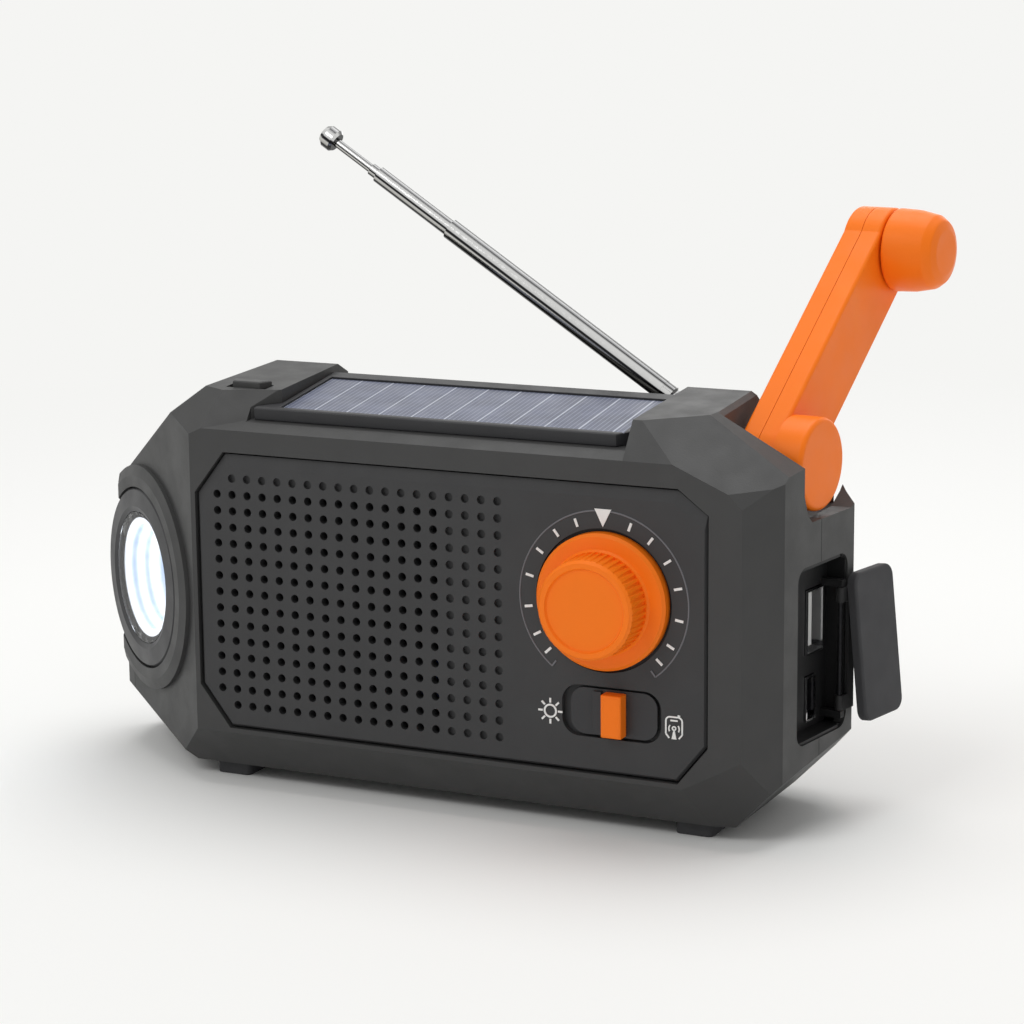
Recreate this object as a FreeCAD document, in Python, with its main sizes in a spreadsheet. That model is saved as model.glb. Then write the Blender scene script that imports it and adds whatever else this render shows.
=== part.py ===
"""Hand crank weather radio, built piece by piece.

Millimetres. X runs to the right of the front face, Y to the rear, Z up.
The origin lies on the table, under the middle of the whole radio with its crank and
port cover. The sizes below are counted from a point under the middle of the case.
"""
import FreeCAD
import Part
import Sketcher
import math
import os
import re
from FreeCAD import Placement, Rotation, Vector

SIZES = {
    # middle of the whole radio, seen from the middle of the case
    "middle_x": 2.52, "middle_y": 11.11,
    # case
    "front_y": -24.0, "rear_y": 24.0, "parting_y": -2.0, "parting_gap": 0.15,
    "foot_height": 3.1, "deck_z": 72.0, "wall": 2.2,
    "crease_top_z": 75.45, "crease_bottom_z": 11.7, "crease_left_x": -45.6, "crease_right_x": 72.4,
    "corner_left_x": -51.0, "corner_top_x": 58.2, "corner_side_x": 72.2, "corner_side_z": 67.9,
    "corner_low_x": 60.4, "ridge_depth": 6.0,
    "end_reach": 80.4, "end_tilt": 8.0, "end_crease_heading": 50.5,
    "top_z": 83.4, "top_z_at_y": -9.0, "top_slope": 4.4, "top_rear_y": 9.0, "rear_slope": 63.0,
    "ledge_y": 13.4, "ledge_z": 74.9, "ledge_right_x": 50.0,
    "top_left_x": -48.1, "bevel_rise": 63.4, "bottom_rise": 34.9,
    "shoulder_inset": 11.4, "shoulder_z": 79.3, "chamfer_inset": 2.2, "chamfer_z": 12.8,
    "block_left_x": -31.5, "block_right_x": 48.0, "brow_rise": 34.9,
    "flare_y": -15.1, "flare_reach": 5.1, "flare_depth": 3.8, "flare_share": 0.82, "flare_gap": 0.5,
    "nose_setback": 1.5,
    # case screws and their posts
    "screw_radius": 1.2, "screw_head_radius": 2.4, "screw_head_height": 1.8, "screw_length": 15.0,
    "pilot_gap": 0.05, "post_radius": 3.3, "rear_post_radius": 4.0, "screw_seat_y": 6.0, "screw_hole_gap": 0.4,
    "screw_low_z": 11.0, "screw_high_z": 70.5, "screw_low_left_x": -56.0, "screw_low_right_x": 61.0,
    "screw_high_left_x": -52.0, "screw_high_right_x": 22.0,
    # feet
    "foot_left_x": -45.0, "foot_right_x": 59.6, "foot_y": 12.0, "foot_length": 8.0, "foot_width": 8.0,
    "foot_round": 1.2,
    # front panel
    "panel_left_x": -47.0, "panel_right_x": 65.2, "panel_bottom_z": 13.1, "panel_top_z": 70.4,
    "panel_thickness": 2.2, "panel_sink": 0.35, "panel_gap": 0.45, "panel_ledge": 3.0,
    "panel_left_cut_x": 6.6, "panel_left_cut_z": 8.5, "panel_right_cut_x": 6.0, "panel_top_cut_z": 4.5,
    "panel_low_cut_z": 7.5, "panel_edge": 0.5, "panel_slope_width": 2.4, "panel_slope_depth": 0.5,
    # speaker grille
    "grille_columns": 19, "grille_open_columns": 15, "grille_rows": 15, "grille_pitch_x": 3.53,
    "grille_pitch_z": 3.41, "grille_left_x": -42.33, "grille_top_z": 65.43, "grille_hole_radius": 0.87,
    "dimple_depth": 0.9,
    # speaker
    "speaker_x": -18.0, "speaker_z": 41.5, "speaker_radius": 25.0, "speaker_flange": 1.4,
    "speaker_depth": 13.0, "speaker_magnet_radius": 13.0, "speaker_magnet_depth": 5.0, "cone_thickness": 0.5,
    # tuning knob and capacitor
    "knob_x": 43.76, "knob_z": 47.56, "knob_well_radius": 14.3, "knob_well_depth": 1.3,
    "knob_flange_radius": 13.6, "knob_flange_rise": 1.6, "knob_grip_radius": 10.2, "knob_face_radius": 9.3,
    "knob_height": 9.0, "knob_dish_radius": 8.0, "knob_dish_depth": 0.5, "knob_flutes": 48,
    "flute_radius": 0.42, "knob_float": 0.35, "knob_wall": 1.6,
    "tuner_shaft_radius": 3.0, "shaft_gap": 0.05, "tuner_size": 20.0, "tuner_depth": 10.6, "tuner_bush_radius": 4.2,
    # mode switch
    "switch_x": 45.4, "switch_z": 25.2, "switch_slot_length": 21.0, "switch_slot_height": 10.4,
    "switch_slot_round": 3.6, "switch_well_depth": 1.5, "slider_x": 45.85, "slider_length": 18.3,
    "slider_height": 9.4, "slider_thickness": 1.0, "slider_float": 0.3, "rib_x": 42.6, "rib_width": 1.8,
    "rib_rise": 0.9, "grip_x": 46.35, "grip_width": 4.3, "grip_rise": 3.0, "switch_travel": 1.2,
    "stem_width": 3.0, "switch_body_length": 16.0, "switch_body_height": 7.0, "switch_body_depth": 6.0,
    # main board
    "board_thickness": 1.6, "board_y": -8.6, "board_left_x": 12.0, "board_right_x": 56.0,
    "board_bottom_z": 12.5, "board_top_z": 58.0,
    # solar panel and frame
    "solar_tilt": 7.9, "solar_front_y": -18.3, "solar_front_z": 80.0, "solar_left_x": -29.7,
    "solar_right_x": 45.7, "solar_depth": 21.5, "solar_thickness": 1.6, "solar_sink": 0.35, "solar_gap": 0.25,
    "solar_rim": 1.55, "solar_rear_rim": 3.9, "solar_seat": 2.7, "solar_corner": 3.0, "solar_edge": 0.45,
    # power button
    "button_x": -39.6, "button_y": -13.9, "button_length": 8.7, "button_width": 3.2, "button_rise": 1.2,
    "button_taper": 1.2, "flange_longer": 0.7, "flange_wider": 1.0, "flange_height": 1.2, "flange_room": 0.3,
    "flange_drop": 0.4,
    "button_gap": 0.3, "button_travel": 0.8, "button_stem_radius": 1.6,
    "tact_size": 6.0, "tact_height": 3.5, "plunger_height": 0.8, "plunger_gap": 0.2, "button_stem": 3.4,
    "switch_board_length": 12.0, "switch_board_width": 9.4, "switch_board_thickness": 1.2, "switch_post_radius": 1.2,
    # torch
    "torch_heading": -36.9, "torch_x": -70.5, "torch_y": -9.5, "torch_z": 38.9, "hood_radius": 24.2,
    "hood_lip": 2.2, "bezel_radius": 19.5, "bezel_gap": 0.1, "bezel_crest_radius": 15.4,
    "bezel_depth": 9.0, "bezel_wall": 1.2, "lens_radius": 14.2, "lens_thickness": 1.8, "lens_sink": -0.3,
    "reflector_depth": 10.5, "reflector_throat": 3.4, "reflector_wall": 0.8, "cup_waist": 1.85,
    "led_size": 5.0,
    "led_board_radius": 9.0,
    # crank
    "crank_y": 1.0, "crank_z": 72.6, "crank_lean": 50.0, "crank_length": 57.5, "well_reach": 17.9,
    "well_front_y": -9.0, "well_floor_z": 61.0, "well_rim_z": 62.6, "well_rear_z": 65.7, "well_wall": 2.0,
    "well_rear_y": 21.0, "well_chamfer": 0.9, "hub_radius": 9.2, "hub_inset": 1.5, "hub_depth": 6.5, "arm_inset": 16.5,
    "arm_width": 16.0, "arm_root_radius": 8.0, "arm_tip_radius": 8.5, "arm_split": 0.12, "arm_edge": 0.9,
    "grip_radius": 8.5, "grip_length": 10.8, "grip_end_radius": 7.2, "grip_round": 2.6, "grip_float": 0.35,
    "grip_pin_radius": 2.5, "pin_gap": 0.06, "pin_head_radius": 4.0, "pin_head_height": 1.2,
    "shaft_radius": 2.5, "shaft_length": 44.0,
    # gear train, all on axles parallel with the crank shaft
    "gear_module": 0.6, "drive_teeth": 28, "pinion_teeth": 10, "wheel_teeth": 24, "gear_width": 2.8,
    "gear_step": 3.7, "plate_out": -22.4, "plate_thickness": 1.4, "plate_gap": 0.4,
    "axle_radius": 1.0, "axle_gap": 0.03, "tooth_gap": 0.12, "sleeve_radius": 3.9,
    "gear_two_angle": -62.0, "gear_three_angle": -112.0, "spacer_radius": 1.9,
    "plate_front": -8.6, "plate_rear": 13.0, "plate_low": -40.0, "plate_high": 3.6,
    "plate_step": -2.0, "plate_step_in": 4.6, "bush_wall": 1.0,
    # dynamo
    "dynamo_radius": 11.0, "dynamo_length": 14.0, "dynamo_wall": 0.8, "magnet_radius": 6.0,
    "stator_gap": 0.5, "dynamo_shaft_radius": 0.8,
    # ports
    "port_z": 36.35, "port_offset": 1.0, "port_width": 20.8, "port_height": 35.5, "port_round": 3.0,
    "port_depth": 4.2, "port_wall": 0.7, "port_floor": 1.6, "port_gap": 0.08,
    "usb_a_z": 40.9, "usb_a_offset": 5.05, "usb_a_width": 6.8, "usb_a_height": 13.1, "usb_a_length": 14.0,
    "usb_c_z": 25.4, "usb_c_offset": 3.6, "usb_c_width": 3.9, "usb_c_height": 9.1, "usb_c_length": 8.5,
    "usb_wall": 0.35, "usb_proud": 0.5, "usb_fit": 0.15, "usb_board_length": 15.0, "usb_board_margin": 3.0,
    # port cover
    "cover_width": 14.6, "cover_height": 30.0, "cover_thickness": 2.0, "cover_round": 2.6,
    "cover_pin_offset": 9.0, "cover_pin_out": -0.3, "cover_pin_radius": 0.45, "cover_slope": 4.0,
    "cover_tilt": 6.0, "cover_reach": 1.05, "strap_height": 3.0, "strap_spacing": 22.0, "strap_thickness": 0.55,
    "strap_z": 34.7, "strap_gap": 0.06, "barrel_radius": 0.9, "web_start": 1.8,
    "lug_height": 1.4, "lug_width": 1.6, "cover_lift": 0.95, "strap_reach": 4.0,
    # antenna
    "mast_x": 45.2, "mast_y": 17.0, "mast_z": 78.6, "mast_lean": 32.95, "mast_start": 7.0, "mast_end": 64.0,
    "tube_one_radius": 2.25, "tube_two_radius": 1.8, "tube_three_radius": 1.32, "tube_four_radius": 0.96,
    "tube_fit": 0.06, "tube_two_out": 19.8, "tube_three_out": 2.0, "tube_four_out": 10.4,
    "tube_two_length": 54.0, "tube_three_length": 53.0, "tube_four_length": 51.0,
    "tip_radius": 2.5, "tip_length": 3.3, "neck_radius": 1.4, "collar_start": 4.7, "collar_radius": 2.2,
    "fork_width": 6.4, "fork_gap": 0.1,
    "tongue_width": 2.6, "mast_pin_radius": 0.9, "swivel_radius": 4.2, "swivel_length": 4.0,
    "socket_gap": 0.1, "socket_wall": 1.8, "notch_radius": 5.6,
    # battery and radio coil
    "cell_radius": 9.15, "cell_length": 65.0, "cell_x": -14.0, "cell_y": 9.2,
    "holder_wall": 1.2, "cell_gap": 0.3,
    "ferrite_radius": 5.0, "ferrite_length": 54.0, "ferrite_x": -13.0, "ferrite_z": 64.0,
    "coil_radius": 6.2, "coil_length": 18.0, "coil_gap": 0.05,
}

doc = FreeCAD.newDocument("weather_radio")
sheet = doc.addObject("Spreadsheet::Sheet", "sizes")
for row, (word, number) in enumerate(SIZES.items(), start=1):
    sheet.set(f"A{row}", word)
    sheet.set(f"B{row}", str(number))
    sheet.setAlias(f"B{row}", word)
doc.recompute()

WORDS = re.compile(r"[a-z][a-z_]*_[a-z_]*[a-z]|\bwall\b")
pieces = []


def on_sheet(text):
    """Point every size named in an expression at its cell."""
    return WORDS.sub(lambda found: "sizes." + found.group(), str(text))


def value(text):
    return float(sheet.evalExpression(on_sheet(text)))


def point(spot):
    return Vector(*[value(part) for part in spot])


def keep(thing, label):
    thing.Label = label
    pieces.append(thing)
    return thing


def place(thing, spot, turn=Rotation()):
    """Put a piece at a point written in sizes, turned as given."""
    spot = (f"{spot[0]} - middle_x", f"{spot[1]} - middle_y", spot[2])
    thing.Placement = Placement(point(spot), turn)
    for axis, part in zip("xyz", spot):
        thing.setExpression(f"Placement.Base.{axis}", on_sheet(part))
    return thing


def facing(heading):
    """Turn local Z to look level along a heading: 0 is the front, 90 the right end."""
    angle = math.radians(value(heading))
    out = Vector(math.sin(angle), -math.cos(angle), 0)
    up = Vector(0, 0, 1)
    return Rotation(up.cross(out), up, out, "ZXY")


def ahead(base, heading, across="0", up="0", out="0"):
    """Point in a frame that looks along a heading from a base point."""
    return (f"{base[0]} + ({across}) * cos({heading}) + ({out}) * sin({heading})",
            f"{base[1]} + ({across}) * sin({heading}) - ({out}) * cos({heading})",
            f"{base[2]} + {up}")


# Building blocks for the pieces

def new_body(label):
    return keep(doc.addObject("PartDesign::Body", label), label)


def sketch_on(body, role, lift="0"):
    sketch = body.newObject("Sketcher::SketchObject", body.Name + "_sketch")
    plane = next(item for item in body.Origin.OriginFeatures if item.Role == role)
    sketch.AttachmentSupport = [(plane, "")]
    sketch.MapMode = "FlatFace"
    sketch.AttachmentOffset = Placement(Vector(0, 0, value(lift)), Rotation())
    sketch.setExpression("AttachmentOffset.Base.z", on_sheet(lift))
    return sketch


def fix(sketch, kind, where, text):
    number = sketch.addConstraint(Sketcher.Constraint(kind, *where, value(text)))
    sketch.setExpression(f"Constraints[{number}]", on_sheet(text))


def draw_outline(sketch, corners):
    """Closed outline through corners given as pairs of size expressions."""
    spots = [Vector(value(across), value(up), 0) for across, up in corners]
    first = sketch.GeometryCount
    count = len(spots)
    for number in range(count):
        sketch.addGeometry(Part.LineSegment(spots[number], spots[(number + 1) % count]), False)
    for number in range(count):
        following = first + (number + 1) % count
        sketch.addConstraint(Sketcher.Constraint("Coincident", first + number, 2, following, 1))
    for number, (across, up) in enumerate(corners):
        fix(sketch, "DistanceX", (-1, 1, first + number, 1), across)
        fix(sketch, "DistanceY", (-1, 1, first + number, 1), up)


def draw_circle(sketch, across, up, radius):
    centre = Vector(value(across), value(up), 0)
    number = sketch.addGeometry(Part.Circle(centre, Vector(0, 0, 1), value(radius)), False)
    fix(sketch, "Radius", (number,), radius)
    fix(sketch, "DistanceX", (-1, 1, number, 3), across)
    fix(sketch, "DistanceY", (-1, 1, number, 3), up)


def rectangle(left, right, bottom, top):
    return [(left, bottom), (right, bottom), (right, top), (left, top)]


def centred(width, height, across="0", up="0"):
    return rectangle(f"{across} - ({width}) / 2", f"{across} + ({width}) / 2",
                     f"{up} - ({height}) / 2", f"{up} + ({height}) / 2")


def pad(body, sketch, length):
    feature = body.newObject("PartDesign::Pad", body.Name + "_pad")
    feature.Profile = sketch
    feature.Length = value(length)
    feature.setExpression("Length", on_sheet(length))
    return feature


def pocket(body, sketch, length, upward=False):
    """Cut a sketch into the body, downward from its plane unless told otherwise."""
    doc.recompute()
    before = body.Shape.Volume
    feature = body.newObject("PartDesign::Pocket", body.Name + "_pocket")
    feature.Profile = sketch
    feature.Length = value(length)
    feature.setExpression("Length", on_sheet(length))
    feature.Reversed = upward
    doc.recompute()
    if body.Shape.Volume > before - 1e-6:
        raise RuntimeError(f"{body.Label}: the pocket cuts nothing")
    return feature


def turned(label, profile, spot, turn=Rotation()):
    """Body turned about its own Z axis from (radius, height) corners."""
    body = new_body(label)
    sketch = sketch_on(body, "XZ_Plane")
    draw_outline(sketch, profile)
    feature = body.newObject("PartDesign::Revolution", body.Name + "_turn")
    feature.Profile = sketch
    feature.ReferenceAxis = (sketch, ["V_Axis"])
    feature.Angle = 360
    return place(body, spot, turn)


def disc(label, radius, length, spot, turn=Rotation(), bore=None):
    """Plain round piece from its base point along its own Z axis, bored or solid."""
    inner = bore or "0"
    return turned(label, rectangle(inner, radius, "0", length), spot, turn)


def plate(label, corners, thickness, spot, turn=Rotation(), holes=()):
    body = new_body(label)
    sketch = sketch_on(body, "XY_Plane")
    draw_outline(sketch, corners)
    for across, up, radius in holes:
        draw_circle(sketch, across, up, radius)
    pad(body, sketch, thickness)
    return place(body, spot, turn)


def add_plate(body, corners, lift, thickness):
    sketch = sketch_on(body, "XY_Plane", lift)
    draw_outline(sketch, corners)
    return pad(body, sketch, thickness)


def add_disc(body, radius, lift, thickness, across="0", up="0"):
    sketch = sketch_on(body, "XY_Plane", lift)
    draw_circle(sketch, across, up, radius)
    return pad(body, sketch, thickness)


def bore(body, radius, lift, depth, across="0", up="0", upward=False):
    sketch = sketch_on(body, "XY_Plane", lift)
    draw_circle(sketch, across, up, radius)
    return pocket(body, sketch, depth, upward)


def cut_plate(body, corners, lift, depth, upward=False):
    sketch = sketch_on(body, "XY_Plane", lift)
    draw_outline(sketch, corners)
    return pocket(body, sketch, depth, upward)


def round_edges(body, radius, wanted, kind="PartDesign::Fillet"):
    """Fillet or chamfer the edges that a test picks by their ends and length."""
    doc.recompute()
    base = body.Tip
    names = [f"Edge{number}" for number, edge in enumerate(base.Shape.Edges, start=1) if wanted(edge)]
    feature = body.newObject(kind, body.Name + "_edges")
    feature.Base = (base, names)
    measure = "Radius" if kind.endswith("Fillet") else "Size"
    feature.setExpression(measure, on_sheet(radius))
    doc.recompute()
    return feature


def upright(edge):
    """Straight edges along the body's own Z axis."""
    if edge.Curve.TypeId != "Part::GeomLine":
        return False
    return abs(abs(edge.Curve.Direction.z) - 1) < 1e-6


def level_at(height):
    """Edges that lie flat at one height of the body."""
    def test(edge):
        box = edge.BoundBox
        return abs(box.ZMin - height) < 1e-4 and abs(box.ZMax - height) < 1e-4
    return test


def built(label, shape, spot=("0", "0", "0"), turn=Rotation()):
    """Piece whose faceted shape is worked out from the sizes in code."""
    piece = keep(doc.addObject("Part::Feature", label), label)
    piece.Shape = shape
    return place(piece, spot, turn)


class Sizes:
    """The sheet's cells as plain numbers, for the pieces worked out in code."""

    def __getattr__(self, word):
        return float(sheet.get(word))


size = Sizes()


# Case: flat facets around a hollow, split into a front and a rear shell

FAR = 400.0


def direction(heading, rise):
    """Unit vector by compass heading from the front and by rise from level."""
    turn = math.radians(heading)
    lift = math.radians(rise)
    return Vector(math.cos(lift) * math.sin(turn), -math.cos(lift) * math.cos(turn), math.sin(lift))


def half_space(spot, outward):
    """Everything on the outer side of a plane."""
    side = Part.makeBox(FAR, FAR, FAR, Vector(-FAR / 2, -FAR / 2, 0))
    side.Placement = Placement(spot, Rotation(Vector(0, 0, 1), outward))
    return side


def end_facet(side):
    """End walls lean outward to the rear; side is 1 for the right and -1 for the left."""
    return Vector(side * size.end_reach, size.parting_y, 0), direction(side * (90 - size.end_tilt), 0)


def rear_top_edge():
    """Highest line of the case, where the top plane meets the slope behind it."""
    climb = math.tan(math.radians(size.top_slope)) * (size.top_rear_y - size.top_z_at_y)
    return Vector(0, size.top_rear_y, size.top_z + climb)


def shared_facets():
    """Planes around the whole case: a point on each and its outward direction."""
    front = size.front_y
    rear = size.rear_y
    top = size.crease_top_z
    low = size.crease_bottom_z
    nose = direction(size.torch_heading, 0)
    facets = [
        (Vector(0, front, 0), direction(0, 0)),
        (Vector(0, rear, 0), direction(180, 0)),
        (Vector(0, 0, size.foot_height), direction(0, -90)),
        (Vector(0, size.top_z_at_y, size.top_z), direction(0, 90 - size.top_slope)),
        (Vector(0, front, low), direction(0, -size.bottom_rise)),
        (Vector(0, rear, low), direction(180, -size.bottom_rise)),
        (Vector(size.crease_right_x, front, 0), direction(size.end_crease_heading, 0)),
        (Vector(size.corner_left_x, front, 0) - nose * size.nose_setback, nose),
        (Vector(size.corner_top_x, front, top), direction(31.0, 50.0)),
        (Vector(size.corner_side_x, front, size.corner_side_z), direction(33.7, 29.0)),
        (Vector(size.end_reach - size.shoulder_inset, size.well_front_y, size.shoulder_z), direction(71.3, 60.1)),
        (Vector(size.end_reach - size.chamfer_inset, 0, size.chamfer_z), direction(90, -44.1)),
        (Vector(size.corner_low_x, front, low), direction(16.8, -27.8)),
        (Vector(size.top_left_x, 0, size.top_z), direction(-90, 52.8)),
        (Vector(-52.3, front + size.ridge_depth, size.foot_height), direction(-53.8, -52.1)),
        (Vector(size.crease_left_x, front, top), direction(-22.5, 39.5)),
        (Vector(-size.corner_low_x, rear, low), direction(-163.2, -27.8)),
        (Vector(size.corner_low_x, rear, low), direction(163.2, -27.8)),
        (Vector(-size.corner_top_x, rear, top), direction(-149.0, 50.0)),
        (Vector(size.corner_top_x, rear, top), direction(149.0, 50.0)),
        (Vector(-size.crease_right_x, rear, 0), direction(-129.3, 0)),
        (Vector(size.crease_right_x, rear, 0), direction(129.3, 0)),
        (rear_top_edge(), direction(180, size.rear_slope)),
        end_facet(1),
        end_facet(-1),
    ]
    return facets


def faceted(facets, inset):
    """Solid inside all the facets, each moved inward by the inset."""
    solid = Part.makeBox(FAR / 2, FAR / 2, FAR / 2, Vector(-FAR / 4, -FAR / 4, -FAR / 4))
    for spot, outward in facets:
        solid = solid.cut(half_space(spot - outward * inset, outward))
    return solid


def box_between(left, right, front, rear, bottom, top):
    return Part.makeBox(right - left, rear - front, top - bottom, Vector(left, front, bottom))


def solar_plane(lift):
    """Placement of the panel's sloping plane, raised or lowered along its normal."""
    tilt = Rotation(Vector(1, 0, 0), size.solar_tilt)
    corner = Vector(0, size.solar_front_y, size.solar_front_z)
    return Placement(corner + tilt.multVec(Vector(0, 0, lift)), tilt)


def above_solar_seat(lift):
    """Room over the solar frame's seat, flared at its front left corner."""
    left = size.block_left_x - lift
    right = size.block_right_x + lift
    plan = [(left, FAR / 4), (left, size.flare_y), (left - size.flare_reach, size.flare_y - size.flare_depth),
            (left - size.flare_reach, -FAR / 4), (right, -FAR / 4), (right, FAR / 4)]
    corners = [Vector(across, depth, 0) for across, depth in plan]
    room = Part.Face(Part.makePolygon(corners + corners[:1])).extrude(Vector(0, 0, FAR / 4))
    seat = solar_plane(-size.solar_seat - lift)
    return room.common(half_space(seat.Base, seat.Rotation.multVec(Vector(0, 0, 1))))


def well_left():
    return size.end_reach - size.well_reach


def crank_well(grow):
    """Well that the crank hub stands in, open to the top, the rear and the right."""
    rim = [(size.well_front_y, FAR / 4), (size.well_front_y, size.well_rim_z + 5.5),
           (size.well_front_y + 1.4, size.well_rim_z + 1.6), (size.well_front_y + 3.2, size.well_rim_z),
           (10.5, size.well_rim_z), (15.5, size.well_rear_z - 1.0), (17.0, size.well_rear_z),
           (FAR / 4, size.well_rear_z), (FAR / 4, FAR / 4)]
    corners = [Vector(well_left() - grow, across, up) for across, up in rim]
    outline = Part.makePolygon(corners + [corners[0]])
    mouth = Part.Face(outline).extrude(Vector(FAR / 4, 0, 0))
    pit = box_between(well_left() - grow, size.end_reach - 2.4 + grow, size.well_front_y - grow,
                      size.well_rear_y + grow, size.well_floor_z - grow, FAR / 4)
    return mouth.fuse(pit)


def well_chamfer():
    """Slanted strip along the top edge of the well's left wall."""
    upward = direction(0, 90 - size.top_slope)
    corner = Vector(well_left(), size.top_z_at_y, size.top_z) - upward * size.well_chamfer
    edge = box_between(well_left() - FAR / 40, well_left() + 1, size.well_front_y, FAR / 4,
                       size.well_rear_z, FAR / 4)
    return edge.common(half_space(corner, direction(90, 0) + upward))


def mast_notch(grow):
    """Round notch behind the right block that the antenna's fork turns in."""
    return along_y(size.notch_radius + grow, size.mast_x, size.mast_z,
                   size.mast_y - size.fork_width / 2 - 0.3 - grow, FAR / 4)


def along_y(radius, across, up, front, rear):
    return Part.makeCylinder(radius, rear - front, Vector(across, front, up), Vector(0, 1, 0))


def case_solid(inset):
    """Outer form of the case, or its hollow when the facets are moved inward."""
    around = shared_facets()
    bevel = (Vector(0, size.front_y, size.crease_top_z), direction(0, size.bevel_rise))
    block = (Vector(size.crease_left_x, size.front_y, size.crease_top_z), direction(13.7, 34.3))
    block_side = (Vector(size.block_left_x, 0, 0), direction(90, 0))
    brow = (Vector(0, size.front_y, size.crease_top_z), direction(0, size.brow_rise))
    brow_side = (Vector(size.block_right_x, 0, 0), direction(-90, 0))
    solid = faceted(around + [bevel], inset)
    solid = solid.fuse(faceted(around + [block, block_side], inset))
    solid = solid.fuse(faceted(around + [brow, brow_side], inset))
    ledge = box_between(-FAR / 4, size.ledge_right_x + inset, size.ledge_y - inset, FAR / 4,
                        size.ledge_z - inset, FAR / 4)
    return solid.cut(ledge).cut(mast_notch(inset)).cut(above_solar_seat(inset))


def torch_frame(lift=0.0):
    centre = Vector(size.torch_x, size.torch_y, size.torch_z)
    outward = direction(size.torch_heading, 0)
    return centre + outward * lift, outward


def torch_hood():
    """Round lip around the torch, cut off at the front face and at the left end."""
    base, outward = torch_frame(-size.nose_setback - size.wall)
    rise = size.nose_setback + size.wall
    body = Part.makeCylinder(size.hood_radius, rise - size.hood_lip * 0.3, base, outward)
    body = body.fuse(Part.makeCone(size.hood_radius, size.hood_radius - size.hood_lip, size.hood_lip * 0.3,
                                   base + outward * (rise - size.hood_lip * 0.3), outward))
    body = body.cut(half_space(*end_facet(-1)))
    return body.cut(half_space(Vector(0, size.front_y, 0), direction(0, 0)))


def panel_corners(grow):
    """Outline of the front panel as points on the front face, grown all round."""
    left = size.panel_left_x - grow
    right = size.panel_right_x + grow
    low = size.panel_bottom_z - grow
    high = size.panel_top_z + grow
    soft = 0.6 * grow
    return [(left + size.panel_left_cut_x + soft, low), (right - size.panel_right_cut_x - soft, low),
            (right, low + size.panel_low_cut_z + soft), (right, high - size.panel_top_cut_z - soft),
            (right - size.panel_right_cut_x - soft, high), (left + size.panel_left_cut_x + soft, high),
            (left, high - size.panel_left_cut_z - soft), (left, low + size.panel_left_cut_z + soft)]


def panel_prism(grow, front, rear):
    corners = [Vector(across, front, up) for across, up in panel_corners(grow)]
    return Part.Face(Part.makePolygon(corners + [corners[0]])).extrude(Vector(0, rear - front, 0))


def port_box(grow, near, far):
    """Rounded box on the right end wall, between two depths behind it."""
    width = size.port_width + 2 * grow
    height = size.port_height + 2 * grow
    box = Part.makeBox(width, height, near - far,
                       Vector(size.port_offset - width / 2, -height / 2, far))
    box = box.makeFillet(size.port_round + grow, [edge for edge in box.Edges if upright(edge)])
    spot = Vector(size.end_reach, size.parting_y, size.port_z)
    box.Placement = Placement(spot, facing("90 - end_tilt"))
    return box


def screw_spots():
    return [(size.screw_low_left_x, size.screw_low_z), (size.screw_low_right_x, size.screw_low_z),
            (size.screw_high_left_x, size.screw_high_z), (size.screw_high_right_x, size.screw_high_z)]


def front_region(gap):
    """Space that belongs to the front shell: ahead of the parting line, and the whole top deck."""
    ahead_of = box_between(-FAR / 4, FAR / 4, -FAR / 4, size.parting_y + gap, -FAR / 4, FAR / 4)
    deck = box_between(-FAR / 4, well_left() + gap, -FAR / 4, size.top_rear_y + gap / 3,
                       size.deck_z - gap, FAR / 4)
    return ahead_of.fuse(deck)


def case_walls():
    outer = case_solid(0).fuse(torch_hood())
    well = crank_well(0).fuse(well_chamfer())
    hollow = case_solid(size.wall).cut(crank_well(size.well_wall))
    return outer.cut(hollow).cut(well), outer.cut(well)


def front_shell(walls, outer):
    shell = walls.common(front_region(0))
    for across, up in screw_spots():
        post = along_y(size.post_radius, across, up, size.front_y, size.parting_y)
        shell = shell.fuse(post.common(outer))
    seat = size.front_y + size.panel_sink + size.panel_thickness
    shell = shell.fuse(panel_prism(size.panel_gap + 1.5, size.front_y + 1.0, seat + size.wall).common(outer))
    shell = shell.cut(panel_prism(size.panel_gap, size.front_y - 1.0, seat))
    shell = shell.cut(panel_prism(-size.panel_ledge, size.front_y - 1.0, size.parting_y))
    for across, up in screw_spots():
        shell = shell.cut(along_y(size.screw_radius + size.pilot_gap, across, up, -16.0, size.parting_y))
    back, outward = torch_frame(-size.bezel_depth - 2.0)
    shell = shell.cut(Part.makeCylinder(size.bezel_radius + size.bezel_gap, 30.0, back, outward))
    shell = shell.cut(port_box(0, 2.0, -8.0))
    shell = shell.cut(crank_bore(size.sleeve_radius + size.bush_wall + size.pin_gap))
    return shell.cut(button_rooms()).fuse(switch_posts().common(outer))


def top_at_button():
    return size.top_z + math.tan(math.radians(size.top_slope)) * (size.button_y - size.top_z_at_y)


def box_at_button(longer, wider, bottom, top):
    """Box around the power button, larger than it by two amounts."""
    across = (size.button_length + longer) / 2
    along = (size.button_width + wider) / 2
    return box_between(size.button_x - across, size.button_x + across, size.button_y - along,
                       size.button_y + along, bottom, top)


def button_rooms():
    """Hole for the power button, with room for its flange under the wall."""
    hole = box_at_button(2 * size.button_gap, 2 * size.button_gap, size.deck_z, size.top_z + size.wall)
    under = top_at_button() - size.wall
    spare = 2 * size.flange_room
    low = under - size.flange_drop - size.flange_height - size.button_travel - size.flange_room
    return hole.fuse(box_at_button(size.flange_longer + spare, size.flange_wider + spare, low, under))


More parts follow.
